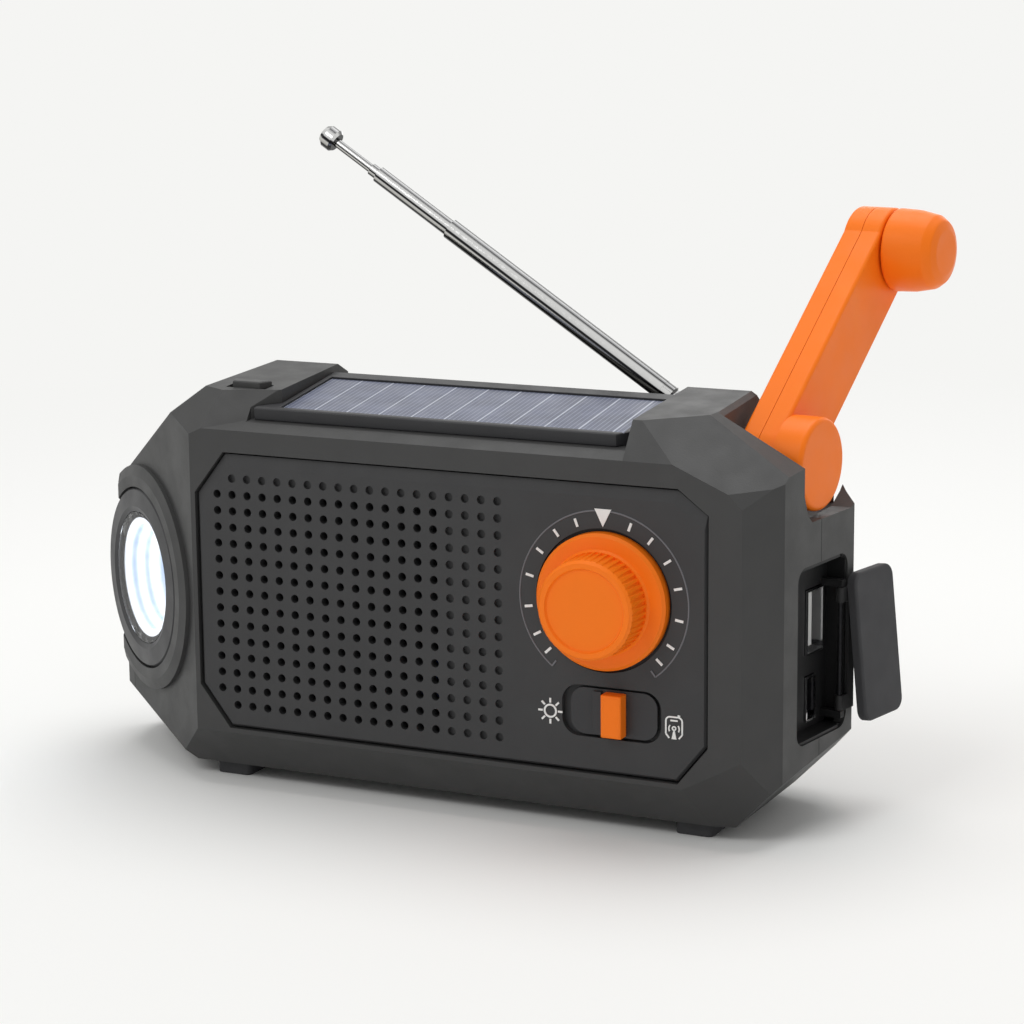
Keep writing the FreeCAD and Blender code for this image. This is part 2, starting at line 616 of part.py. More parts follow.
def switch_posts():
    """Two posts that hang from the top wall and carry the power switch's board."""
    deep = size.wall + size.flange_drop + size.button_stem + size.button_travel + size.plunger_gap
    seat_z = top_at_button() - deep - size.plunger_height - size.tact_height
    posts = []
    for side in (-1, 1):
        across = side * (size.switch_board_length / 2 - size.switch_post_radius)
        along = side * (size.switch_board_width / 2 - size.switch_post_radius)
        spot = Vector(size.button_x + across, size.button_y + along, seat_z)
        posts.append(Part.makeCylinder(size.switch_post_radius, FAR / 20, spot))
    return Part.makeCompound(posts)


def crank_bore(radius):
    """Cylinder on the crank's axis, from the gears out through the wall of the well."""
    centre = Vector(size.end_reach, size.crank_y, size.crank_z)
    outward = direction(90 - size.end_tilt, 0)
    return Part.makeCylinder(radius, 30.0, centre - outward * 38.0, outward)


def battery_cradle():
    """Open tray moulded on the floor of the rear shell."""
    wide = size.cell_length / 2 + size.cell_gap
    deep = size.cell_radius + size.cell_gap
    low = size.foot_height + size.wall
    tray = box_between(size.cell_x - wide - size.holder_wall, size.cell_x + wide + size.holder_wall,
                       size.cell_y - deep - size.holder_wall, size.cell_y + deep + size.holder_wall,
                       low - size.wall / 2, low + size.holder_wall + deep)
    return tray.cut(box_between(size.cell_x - wide, size.cell_x + wide, size.cell_y - deep, size.cell_y + deep,
                                low + size.holder_wall, FAR / 4))


def rear_shell(walls, outer):
    shell = walls.cut(front_region(size.parting_gap)).fuse(battery_cradle().common(outer))
    for across, up in screw_spots():
        post = along_y(size.rear_post_radius, across, up, size.parting_y, size.rear_y)
        shell = shell.fuse(post.common(outer))
    for across, up in screw_spots():
        shell = shell.cut(along_y(size.screw_radius + size.screw_hole_gap, across, up,
                                  size.parting_y, size.rear_y))
        shell = shell.cut(along_y(size.screw_head_radius + size.screw_hole_gap, across, up,
                                  size.screw_seat_y, size.rear_y + 1.0))
    shell = shell.cut(port_box(0, 2.0, -8.0))
    boss_end = size.mast_y - size.fork_width / 2 - 0.3
    boss = along_y(size.swivel_radius + size.socket_wall, size.mast_x, size.mast_z, size.top_rear_y + 0.2, boss_end)
    shell = shell.fuse(boss.common(outer))
    socket = along_y(size.swivel_radius + size.socket_gap, size.mast_x, size.mast_z,
                     boss_end - size.swivel_length - 0.2, boss_end + 1.0)
    back, outward = torch_frame(-size.bezel_depth - 2.0)
    shell = shell.cut(Part.makeCylinder(size.bezel_radius + size.bezel_gap, 30.0, back, outward))
    shell = shell.cut(crank_bore(size.sleeve_radius + size.bush_wall + size.pin_gap))
    return shell.cut(socket)


walls, outer_form = case_walls()
built("front_shell", front_shell(walls, outer_form))
built("rear_shell", rear_shell(walls, outer_form))


# Front panel with the speaker grille, the knob's well and the switch's well

def grille_spots():
    """Hole centres by column and row; the two left corners are left out."""
    columns = int(size.grille_columns)
    rows = int(size.grille_rows)
    for column in range(columns):
        for row in range(rows):
            corner = column == 0 and row in (0, rows - 1)
            if not corner:
                yield column, row


def sloping_border(near, far):
    """Wedge that slopes the panel's face down toward one edge of its outline."""
    outward = (far - near).cross(Vector(0, 0, 1)).normalize()
    face = Vector(0, 0, size.panel_thickness)
    tilt = outward * size.panel_slope_depth + Vector(0, 0, size.panel_slope_width)
    return half_space(near - outward * size.panel_slope_width + face, tilt)


def panel_shape():
    """Panel in a frame that looks out of the front face: X across, Y up, Z outward."""
    corners = [Vector(across, up, 0) for across, up in panel_corners(0)]
    outline = Part.makePolygon(corners + [corners[0]])
    body = Part.Face(outline).extrude(Vector(0, 0, size.panel_thickness))
    rim = [edge for edge in body.Edges if level_at(size.panel_thickness)(edge)]
    body = body.makeChamfer(size.panel_edge, rim)
    for near, far in zip(corners[3:6], corners[4:7]):
        body = body.cut(sloping_border(near, far))
    pitch_x = size.grille_pitch_x
    pitch_z = size.grille_pitch_z
    cuts = []
    for column, row in grille_spots():
        open_hole = column < size.grille_open_columns and row > 0
        depth = size.panel_thickness if open_hole else size.dimple_depth
        spot = Vector(size.grille_left_x + column * pitch_x, size.grille_top_z - row * pitch_z,
                      size.panel_thickness - depth)
        cuts.append(Part.makeCylinder(size.grille_hole_radius, depth + 0.5, spot))
    knob = Vector(size.knob_x, size.knob_z, 0)
    well = size.panel_thickness - size.knob_well_depth
    cuts.append(Part.makeCylinder(size.knob_well_radius, size.panel_thickness, knob + Vector(0, 0, well)))
    cuts.append(Part.makeCylinder(size.tuner_bush_radius + size.pin_gap, FAR / 8, knob - Vector(0, 0, 1)))
    slot_well = size.panel_thickness - size.switch_well_depth
    slot = Part.makeBox(size.switch_slot_length, size.switch_slot_height, size.panel_thickness,
                        Vector(size.switch_x - size.switch_slot_length / 2,
                               size.switch_z - size.switch_slot_height / 2, slot_well))
    cuts.append(slot.makeFillet(size.switch_slot_round, [edge for edge in slot.Edges if upright(edge)]))
    stem_room = size.stem_width + 2 * size.switch_travel + 0.6
    cuts.append(Part.makeBox(stem_room, size.stem_width + 0.6, FAR / 8,
                             Vector(size.grip_x - stem_room / 2, size.switch_z - size.stem_width / 2 - 0.3, -1)))
    return body.cut(Part.makeCompound(cuts))


FRONT = facing("0")
PANEL_BACK = "-panel_sink - panel_thickness"
built("front_panel", panel_shape(), ("0", "front_y + panel_sink + panel_thickness", "0"), FRONT)


# Feet and case screws

def pads():
    solids = []
    for across in (size.foot_left_x, size.foot_right_x):
        for side in (-1, 1):
            pad_block = Part.makeBox(size.foot_length, size.foot_width, size.foot_height,
                                     Vector(across - size.foot_length / 2,
                                            side * size.foot_y - size.foot_width / 2, 0))
            solids.append(pad_block.makeFillet(size.foot_round, [e for e in pad_block.Edges if upright(e)]))
    return Part.makeCompound(solids)


def screws():
    solids = []
    for across, up in screw_spots():
        head = along_y(size.screw_head_radius, across, up, size.screw_seat_y,
                       size.screw_seat_y + size.screw_head_height)
        slot = box_between(across - 1.6, across + 1.6, size.screw_seat_y + size.screw_head_height - 0.7,
                           size.rear_y, up - 0.35, up + 0.35)
        shank = along_y(size.screw_radius, across, up, size.screw_seat_y - size.screw_length, size.screw_seat_y)
        solids.append(head.fuse(shank).cut(slot))
    return Part.makeCompound(solids)


built("rubber_feet", pads())
built("case_screws", screws())


# Solar panel in its frame

def solar_turn():
    return Rotation(Vector(1, 0, 0), value("solar_tilt"))


def on_solar(across, along, lift):
    """Point on the sloping plane of the solar panel."""
    return (across,
            f"solar_front_y + ({along}) * cos(solar_tilt) - ({lift}) * sin(solar_tilt)",
            f"solar_front_z + ({along}) * sin(solar_tilt) + ({lift}) * cos(solar_tilt)")


frame_left = "block_left_x + solar_gap"
frame_right = "block_right_x - solar_gap"
frame_front = "0 - solar_rim"
frame_back = "solar_depth + solar_rear_rim"
flare_start = "(flare_y - solar_front_y) / cos(solar_tilt) - flare_gap"
flare_left = f"{frame_left} - flare_share * flare_reach"
frame = plate("solar_frame",
              [(frame_left, flare_start), (flare_left, f"{flare_start} - flare_share * flare_depth"),
               (flare_left, frame_front),
               (f"{frame_right} - solar_corner", frame_front), (frame_right, f"{frame_front} + solar_corner"),
               (frame_right, frame_back), (frame_left, frame_back)],
              "solar_seat - 0.1", on_solar("0", "0", "0.1 - solar_seat"), solar_turn())
glass_room = rectangle("solar_left_x - solar_gap", "solar_right_x + solar_gap",
                       "0 - solar_gap", "solar_depth + solar_gap")
round_edges(frame, "solar_edge", level_at(value("solar_seat - 0.1")))
cut_plate(frame, glass_room, "solar_seat - 0.1", "solar_sink + solar_thickness")
plate("solar_panel", rectangle("solar_left_x", "solar_right_x", "0", "solar_depth"),
      "solar_thickness", on_solar("0", "0", "0 - solar_sink - solar_thickness"), solar_turn())


# Power button with its switch

def on_top(across, depth, lift):
    """Point over the top plane of the end blocks."""
    return (across, depth, f"top_z + ({depth} - top_z_at_y) * tan(top_slope) + {lift}")


button_outline = [("button_taper - button_length / 2", "0 - button_width / 2"),
                  ("button_length / 2 - button_taper", "0 - button_width / 2"),
                  ("button_length / 2", "button_width / 2"),
                  ("0 - button_length / 2", "button_width / 2")]
button_base = "0 - wall - flange_drop"
button = plate("power_button", button_outline, f"button_rise - ({button_base})",
               on_top("button_x", "button_y", button_base))
add_plate(button, centred("button_length + flange_longer", "button_width + flange_wider"), "0 - flange_height",
          "flange_height")
add_disc(button, "button_stem_radius", "0 - button_stem", "button_stem - 1")
round_edges(button, "0.4", level_at(value(f"button_rise - ({button_base})")))
switch_base = (f"{button_base} - button_stem - button_travel - plunger_gap - plunger_height - tact_height"
               " - switch_board_thickness")
power_switch = plate("power_switch", centred("switch_board_length", "switch_board_width"), "switch_board_thickness",
                     on_top("button_x", "button_y", switch_base))
add_plate(power_switch, centred("tact_size", "tact_size"), "switch_board_thickness", "tact_height")
add_disc(power_switch, "button_stem_radius", "switch_board_thickness + tact_height", "plunger_height")


# Torch

TORCH = ("torch_x", "torch_y", "torch_z")
NOSE = facing("torch_heading")


def in_torch(out):
    return ahead(TORCH, "torch_heading", out=out)


lens_seat = "bezel_depth - lens_sink - lens_thickness - 0.4"
turned("torch_bezel",
       [("lens_radius - bezel_wall", "0"), ("bezel_radius", "0"), ("bezel_radius", "bezel_depth - 0.7"),
        ("bezel_radius - 0.6", "bezel_depth"), ("bezel_crest_radius", "bezel_depth + 0.3"),
        ("lens_radius + 0.12", f"{lens_seat} + lens_thickness"),
        ("lens_radius + 0.12", lens_seat), ("lens_radius - bezel_wall", lens_seat)],
       in_torch("0 - bezel_depth"), NOSE)
disc("torch_lens", "lens_radius", "lens_thickness", in_torch(f"{lens_seat} - bezel_depth"), NOSE)
cup_rim = "lens_radius - bezel_wall - 0.15"
turned("torch_reflector",
       [("reflector_throat", "0"), ("reflector_throat + reflector_wall", "0"),
        (f"{cup_rim} - cup_waist", "reflector_depth * 0.45"), (f"{cup_rim} - 0.4", "reflector_depth - 1.2"),
        (cup_rim, "reflector_depth"), (f"{cup_rim} - reflector_wall", "reflector_depth"),
        (f"{cup_rim} - cup_waist - reflector_wall", "reflector_depth * 0.5")],
       in_torch(f"{lens_seat} - bezel_depth - 0.1 - reflector_depth"), NOSE)
board_back = f"{lens_seat} - bezel_depth - 0.1 - reflector_depth"
disc("torch_led_board", "led_board_radius", "1.2", in_torch(f"{board_back} - 1.25"), NOSE)
led = plate("torch_led", centred("led_size", "led_size"), "0.9", in_torch(f"{board_back} - 0.05"), NOSE)
add_disc(led, "led_size / 2 - 0.3", "0.9", "0.9")


# Tuning knob and capacitor

KNOB = ("knob_x", "front_y", "knob_z")


def in_front(base, out):
    return (base[0], f"{base[1]} - ({out})", base[2])


well_floor = "0 - panel_sink - knob_well_depth"
skirt = f"{well_floor} + knob_float"
knob = turned("tuning_knob",
              [("0", "knob_height - knob_wall - knob_dish_depth"),
               ("tuner_shaft_radius + shaft_gap", "knob_height - knob_wall - knob_dish_depth"),
               ("tuner_shaft_radius + shaft_gap", skirt), ("knob_flange_radius", skirt),
               ("knob_flange_radius", "knob_flange_rise - 0.6"), ("knob_flange_radius - 0.6", "knob_flange_rise"),
               ("knob_grip_radius + 0.4", "knob_flange_rise + 0.1"), ("knob_grip_radius", "knob_flange_rise + 0.6"),
               ("knob_grip_radius - 0.35", "knob_height - 0.6"), ("knob_face_radius", "knob_height"),
               ("knob_dish_radius + 0.3", "knob_height"), ("knob_dish_radius", "knob_height - knob_dish_depth"),
               ("0", "knob_height - knob_dish_depth")],
              KNOB, FRONT)
flute_sketch = sketch_on(knob, "XY_Plane", "knob_height + 0.1")
draw_circle(flute_sketch, "knob_grip_radius - 0.02", "0", "flute_radius")
flute = pocket(knob, flute_sketch, "knob_height - knob_flange_rise - 0.7")
flutes = knob.newObject("PartDesign::PolarPattern", "knob_flutes")
flutes.Originals = [flute]
flutes.Axis = (flute_sketch, ["N_Axis"])
flutes.Angle = 360
flutes.Occurrences = int(value("knob_flutes"))
flutes.setExpression("Occurrences", on_sheet("knob_flutes"))
knob.Tip = flutes

tuner_front = "0 - panel_sink - panel_thickness - 2.2"
tuner = plate("tuning_capacitor", centred("tuner_size", "tuner_size"), "tuner_depth",
              in_front(KNOB, f"{tuner_front} - tuner_depth"), FRONT)
add_disc(tuner, "tuner_bush_radius", "tuner_depth", "0 - panel_sink - knob_well_depth - 0.05 - (" + tuner_front + ")")
bore(tuner, "tuner_shaft_radius + shaft_gap", "tuner_depth + 4", "tuner_depth")
disc("tuning_shaft", "tuner_shaft_radius", "knob_height - knob_wall - knob_dish_depth - 0.2 - (" + tuner_front + ") + 4",
     in_front(KNOB, f"{tuner_front} - 4"), FRONT)


# Mode switch

SWITCH = ("grip_x", "front_y", "switch_z")
slot_floor = "0 - panel_sink - switch_well_depth"
slider = plate("mode_slider",
               centred("slider_length", "slider_height", "slider_x - grip_x"), "slider_thickness",
               in_front(SWITCH, f"{slot_floor} + slider_float"), FRONT)
round_edges(slider, "switch_slot_round - 0.6", upright)
add_plate(slider, centred("rib_width", "slider_height - 0.8", "rib_x - grip_x"), "slider_thickness", "rib_rise")
add_plate(slider, centred("stem_width", "stem_width"), "-3.4", "3.5")
grip = plate("mode_grip", centred("grip_width", "slider_height - 0.8"), "grip_rise",
             in_front(SWITCH, f"{slot_floor} + slider_float + slider_thickness"), FRONT)
round_edges(grip, "0.5", level_at(value("grip_rise")))
switch_body = plate("mode_switch_body", centred("switch_body_length", "switch_body_height"),
                    "switch_body_depth", in_front(SWITCH, f"{PANEL_BACK} - 0.1 - switch_body_depth"), FRONT)
cut_plate(switch_body, centred("stem_width + 2 * switch_travel + 0.6", "stem_width + 0.4"),
          "switch_body_depth", "3.6")


# Main board and speaker

board = plate("main_board", rectangle("board_left_x", "board_right_x", "board_bottom_z", "board_top_z"),
              "board_thickness", ("0", "board_y + board_thickness", "0"), FRONT)
for across, up, width in (("22", "24", "9"), ("24", "44", "7"), ("50", "19", "5")):
    add_plate(board, centred(width, width, across, up), "board_thickness", "1.4")

SPEAKER = ("speaker_x", "front_y", "speaker_z")
seat = "panel_sink + panel_thickness + 0.1"
turned("speaker_basket",
       [("speaker_radius - 2.5", "0"), ("speaker_radius", "0"), ("speaker_radius", "0 - speaker_flange"),
        ("speaker_radius - 2", "0 - speaker_flange"), ("speaker_magnet_radius + 1", "0 - speaker_depth"),
        ("speaker_magnet_radius - 6", "0 - speaker_depth"), ("speaker_magnet_radius - 6", "1 - speaker_depth"),
        ("speaker_magnet_radius", "1 - speaker_depth"), ("speaker_radius - 2.5", "0 - speaker_flange - 0.4")],
       in_front(SPEAKER, f"0 - ({seat})"), FRONT)
turned("speaker_cone",
       [("0", "3.4 - speaker_depth"), ("3.5", "2.6 - speaker_depth"), ("4", "2.2 - speaker_depth"),
        ("speaker_radius - 2.6", "-1.2"), ("speaker_radius - 2.6", "cone_thickness - 1.2"),
        ("4", "2.2 - speaker_depth + cone_thickness"), ("0", "3.4 - speaker_depth + cone_thickness")],
       in_front(SPEAKER, f"0 - ({seat})"), FRONT)
disc("speaker_magnet", "speaker_magnet_radius", "speaker_magnet_depth",
     in_front(SPEAKER, f"0 - ({seat}) - speaker_depth - speaker_magnet_depth"), FRONT)


# Crank: hub, arm in two halves, shaft and turning grip, all along one leaning axis

CRANK_HEADING = "90 - end_tilt"
CRANK = ("end_reach + (crank_y - parting_y) * tan(end_tilt)", "crank_y", "crank_z")
CRANK_TURN = facing(CRANK_HEADING)
ARM_TURN = CRANK_TURN * Rotation(Vector(0, 0, 1), -value("crank_lean"))


def on_crank(out, across="0", up="0"):
    return ahead(CRANK, CRANK_HEADING, across, up, out)


def at_grip(out):
    return on_crank(out, "crank_length * sin(crank_lean)", "crank_length * cos(crank_lean)")


arm_thickness = "arm_inset - hub_inset - hub_depth"
half_arm = f"({arm_thickness} - arm_split) / 2"


def arm_half(label, out, rounded_height):
    """One moulded half of the arm: a bar between two round ends."""
    half = new_body(label)
    sketch = sketch_on(half, "XY_Plane")
    draw_outline(sketch, rectangle("0 - arm_width / 2", "arm_width / 2", "0", "crank_length"))
    pad(half, sketch, half_arm)
    add_disc(half, "arm_root_radius", "0", half_arm)
    add_disc(half, "arm_tip_radius", "0", half_arm, "0", "crank_length")
    round_edges(half, "arm_edge", level_at(value(rounded_height)))
    bore(half, "shaft_radius + pin_gap / 2", f"{half_arm} + 1", f"{half_arm} + 2")
    bore(half, "grip_pin_radius + pin_gap / 2", f"{half_arm} + 1", f"{half_arm} + 2", "0", "crank_length")
    return place(half, on_crank(out), ARM_TURN)


arm_half("crank_arm_inner", "0 - arm_inset", "0")
arm_half("crank_arm_outer", f"arm_split + {half_arm} - arm_inset", half_arm)
hub_base = "0 - hub_inset - hub_depth"
hub = disc("crank_hub", "hub_radius", "hub_depth", on_crank(hub_base), ARM_TURN)
round_edges(hub, "1.1", level_at(value("hub_depth")))
bore(hub, "shaft_radius + pin_gap / 2", "hub_depth - 1.2", "hub_depth")
shaft_out = "0 - hub_inset - 1.3"
disc("crank_shaft", "shaft_radius", "shaft_length", on_crank(f"{shaft_out} - shaft_length"), CRANK_TURN)
disc("grip_pin", "grip_pin_radius", f"{arm_thickness} + grip_length - 3.2", at_grip("0.2 - arm_inset"), CRANK_TURN)
grip_base = f"{hub_base} + grip_float"
turned("crank_grip",
       [("grip_pin_radius + pin_gap", "0"), ("grip_radius - 0.4", "0"), ("grip_radius", "0.4"),
        ("grip_radius - 0.2", "grip_length * 0.45"),
        ("grip_end_radius + 0.35", "grip_length - grip_round * 0.8"),
        ("grip_end_radius - grip_round * 0.3", "grip_length - grip_round * 0.22"),
        ("grip_end_radius - grip_round", "grip_length"), ("0", "grip_length"),
        ("0", "grip_length - 2.2"), ("grip_pin_radius + pin_gap", "grip_length - 2.2")],
       at_grip(grip_base), CRANK_TURN)


# Gear train between two plates, and the dynamo behind them

def gear_level(step):
    """Lower face of the gears in one of three planes between the plates."""
    return f"plate_out - plate_thickness - plate_gap - {step} * gear_step - gear_width"


def gear_outline(teeth, phase):
    """Trapezoid teeth on the pitch circle, one of them centred on the phase angle."""
    pitch = size.gear_module * teeth / 2
    root = pitch - 1.25 * size.gear_module
    tip = pitch + size.gear_module
    step = 2 * math.pi / teeth
    corners = []
    for tooth in range(teeth):
        middle = phase + tooth * step
        root_half = (step / 2 - size.tooth_gap / pitch) * 0.72
        tip_half = (step / 2 - size.tooth_gap / pitch) * 0.26
        for radius, offset in ((root, -root_half), (tip, -tip_half), (tip, tip_half), (root, root_half)):
            corners.append(Vector(radius * math.cos(middle + offset), radius * math.sin(middle + offset), 0))
    return Part.makePolygon(corners + corners[:1])


def gear_blank(teeth, phase, low, width):
    return Part.Face(gear_outline(int(teeth), phase)).extrude(Vector(0, 0, width)).translated(Vector(0, 0, low))


def pitch_gap(first, second):
    return f"gear_module * ({first} + {second}) / 2"


def phase_for(teeth, toward):
    """Phase that turns a gap between teeth toward a mating gear."""
    return math.radians(toward) + math.pi / int(teeth)


first_gap = pitch_gap("drive_teeth", "pinion_teeth")
next_gap = pitch_gap("wheel_teeth", "pinion_teeth")
one_spot = ("0", f"0 - {first_gap}")
two_spot = (f"{next_gap} * cos(gear_two_angle)", f"{one_spot[1]} + {next_gap} * sin(gear_two_angle)")
three_spot = (f"{two_spot[0]} + {next_gap} * cos(gear_three_angle)",
              f"{two_spot[1]} + {next_gap} * sin(gear_three_angle)")

drive = gear_blank(size.drive_teeth, math.radians(-90), 0, size.gear_width)
sleeve_out = value("0 - arm_inset - 2.2")
drive_low = value(gear_level(0))
sleeve = Part.makeCylinder(size.sleeve_radius, sleeve_out - drive_low)
drive = drive.fuse(sleeve).cut(Part.makeCylinder(size.shaft_radius + size.shaft_gap, 60.0))
built("drive_gear", drive, on_crank(gear_level(0)), CRANK_TURN)


def compound_gear(label, spot, upper_level, wheel_phase, pinion_phase):
    """Wheel in one plane with its pinion in the plane above."""
    pinion_low = size.gear_step
    shape = gear_blank(size.wheel_teeth, wheel_phase, 0, size.gear_width)
    shape = shape.fuse(gear_blank(size.pinion_teeth, pinion_phase, size.gear_width,
                                  pinion_low))
    shape = shape.cut(Part.makeCylinder(size.axle_radius + size.axle_gap, 60.0, Vector(0, 0, -1)))
    built(label, shape, on_crank(gear_level(upper_level + 1), *spot), CRANK_TURN)


compound_gear("middle_gear", one_spot, 0, math.radians(size.gear_two_angle), phase_for(size.pinion_teeth, 90))
compound_gear("fast_gear", two_spot, 1, math.radians(size.gear_three_angle),
              phase_for(size.pinion_teeth, size.gear_two_angle + 180))

train = "2 * plate_gap + 2 * gear_step + gear_width"
inner_plate_top = f"plate_out - plate_thickness - ({train})"
plate_corners = [("plate_front", "plate_low"), ("plate_rear", "plate_low"), ("plate_rear", "plate_step"),
                 ("plate_step_in", "plate_step"), ("plate_step_in - 1.3", "plate_high"),
                 ("plate_front", "plate_high")]
outer_plate = plate("gear_plate_outer", plate_corners, "plate_thickness",
                    on_crank("plate_out - plate_thickness"), CRANK_TURN)
add_disc(outer_plate, "sleeve_radius + bush_wall", "0", "5.0")
bore(outer_plate, "sleeve_radius + shaft_gap", "5.1", "5.2")
inner_plate = plate("gear_plate_inner", plate_corners, "plate_thickness",
                    on_crank(f"{inner_plate_top} - plate_thickness"), CRANK_TURN,
                    holes=[("0", "0", "shaft_radius + pin_gap"),
                           (three_spot[0], three_spot[1], "gear_module * pinion_teeth / 2 + 0.9")])
for across, up in (("plate_front + 1.9", "plate_low / 2"), ("plate_rear - 2.2", "-8"),
                   ("plate_front + 2", "plate_low + 2"), ("plate_rear - 2", "plate_low + 2")):
    add_disc(inner_plate, "spacer_radius", "plate_thickness", train, across, up)
axles = [Part.makeCylinder(size.axle_radius, value(train), Vector(value(spot[0]), value(spot[1]), 0))
         for spot in (one_spot, two_spot)]
built("gear_axles", Part.makeCompound(axles), on_crank(inner_plate_top), CRANK_TURN)

dynamo_top = f"{inner_plate_top} - plate_thickness"
magnet_length = "dynamo_length - 2 * dynamo_wall - 2"
turned("dynamo_can",
       [("dynamo_shaft_radius + 1.6", "0"), ("dynamo_radius", "0"), ("dynamo_radius", "dynamo_length"),
        ("dynamo_shaft_radius + 1.6", "dynamo_length"), ("dynamo_shaft_radius + 1.6", "dynamo_length - dynamo_wall"),
        ("dynamo_radius - dynamo_wall", "dynamo_length - dynamo_wall"),
        ("dynamo_radius - dynamo_wall", "dynamo_wall"), ("dynamo_shaft_radius + 1.6", "dynamo_wall")],
       on_crank(f"{dynamo_top} - dynamo_length", *three_spot), CRANK_TURN)
turned("dynamo_stator",
       rectangle("magnet_radius + stator_gap", "dynamo_radius - dynamo_wall - 0.05", "0", magnet_length),
       on_crank(f"{dynamo_top} - dynamo_length + dynamo_wall + 1", *three_spot), CRANK_TURN)
rotor_length = size.dynamo_length + size.plate_thickness + size.plate_gap + size.gear_width - 0.4
rotor = Part.makeCylinder(size.dynamo_shaft_radius, rotor_length)
rotor = rotor.fuse(Part.makeCylinder(size.magnet_radius, value(magnet_length), Vector(0, 0, 1.4)))
pinion_low = rotor_length - size.gear_width
rotor = rotor.fuse(gear_blank(size.pinion_teeth, phase_for(size.pinion_teeth, size.gear_three_angle + 180),
                              pinion_low, size.gear_width))
built("dynamo_rotor", rotor, on_crank(f"{dynamo_top} - dynamo_length + 0.4", *three_spot), CRANK_TURN)
bushes = []
for low in (0, size.dynamo_length - size.dynamo_wall):
    ring = Part.makeCylinder(size.dynamo_shaft_radius + 1.55, size.dynamo_wall, Vector(0, 0, low))
    bushes.append(ring.cut(Part.makeCylinder(size.dynamo_shaft_radius + size.axle_gap, FAR / 8)))
built("dynamo_bushes", Part.makeCompound(bushes), on_crank(f"{dynamo_top} - dynamo_length", *three_spot), CRANK_TURN)


# Ports on the right end, and their cover on a hinge

PORT = ("end_reach", "parting_y", "0")


def on_port(out, across="0", up="0"):
    return ahead(PORT, CRANK_HEADING, across, up, out)


tub_width = "port_width - 2 * port_gap"
tub_height = "port_height - 2 * port_gap"
tub_depth = "port_depth + port_floor - 0.3"
tub = plate("port_frame", centred(tub_width, tub_height), tub_depth,
            on_port("0 - port_depth - port_floor", "port_offset", "port_z"), CRANK_TURN)
round_edges(tub, "port_round + 0.3", upright)
cut_plate(tub, centred("port_width - 2 * port_wall", "port_height - 2 * port_wall"), tub_depth, "port_depth - 0.3")
for which in ("usb_a", "usb_c"):
    cut_plate(tub, centred(f"{which}_width + 2 * usb_fit", f"{which}_height + 2 * usb_fit",
                           f"{which}_offset - port_offset", f"{which}_z - port_z"), "port_floor + 0.5", "port_floor + 1")
strap_top = "strap_spacing / 2 + strap_height / 2"
for sign in ("", "0 - "):
    lug_middle = f"{sign}({strap_top} + 0.15 + lug_height / 2) + strap_z - port_z"
    add_plate(tub, centred("lug_width", "lug_height", "cover_pin_offset - port_offset", lug_middle),
              "port_floor", "port_depth + cover_pin_out + lug_width / 2 - 0.05")
pin_bore = sketch_on(tub, "XZ_Plane", "port_height")
draw_circle(pin_bore, "cover_pin_offset - port_offset", "port_floor + port_depth + cover_pin_out",
            "cover_pin_radius + 0.01")
pocket(tub, pin_bore, "2 * port_height")


def connector(which, tongue_width):
    """Metal shell, open at both ends, with a tongue inside."""
    width = f"{which}_width"
    height = f"{which}_height"
    length = f"{which}_length"
    front = "usb_proud - port_depth"
    shell = new_body(f"{which}_shell")
    sketch = sketch_on(shell, "XY_Plane")
    draw_outline(sketch, centred(width, height))
    draw_outline(sketch, centred(f"{width} - 2 * usb_wall", f"{height} - 2 * usb_wall"))
    pad(shell, sketch, length)
    place(shell, on_port(f"{front} - {length}", f"{which}_offset", f"{which}_z"), CRANK_TURN)
    tongue = plate(f"{which}_tongue", centred(f"{width} - 2 * usb_wall - 0.1", f"{height} - 2 * usb_wall - 0.1"),
                   "1.2", on_port(f"{front} - {length}", f"{which}_offset", f"{which}_z"), CRANK_TURN)
    add_plate(tongue, centred(tongue_width, f"{height} - 2.4"), "1.2", f"{length} - 2.6")


connector("usb_a", "2.0")
connector("usb_c", "0.8")
board_seat = "usb_a_offset - usb_a_width / 2"
plate("usb_board", rectangle("0", "board_thickness", "usb_c_z - usb_c_height / 2 - usb_board_margin",
                             "usb_a_z + usb_a_height / 2 + usb_board_margin"), "usb_board_length",
      on_port("0 - port_depth - port_floor - 0.3 - usb_board_length", f"{board_seat} - board_thickness"), CRANK_TURN)

PIN = ("cover_pin_out", "cover_pin_offset")
upright_turn = Rotation(Vector(1, 0, 0), -90)
disc("cover_hinge_pin", "cover_pin_radius", f"2 * ({strap_top} + lug_height)",
     on_port(PIN[0], PIN[1], f"strap_z - ({strap_top} + lug_height)"), CRANK_TURN * upright_turn)
STRAP_TURN = CRANK_TURN * Rotation(Vector(0, 1, 0), -value("cover_slope"))


def on_strap(across, up, out):
    """Point in the opened cover's frame, which starts at the hinge pin."""
    base = on_port(PIN[0], PIN[1], "strap_z")
    heading = f"({CRANK_HEADING} - cover_slope)"
    return ahead(base, heading, across, up, out)


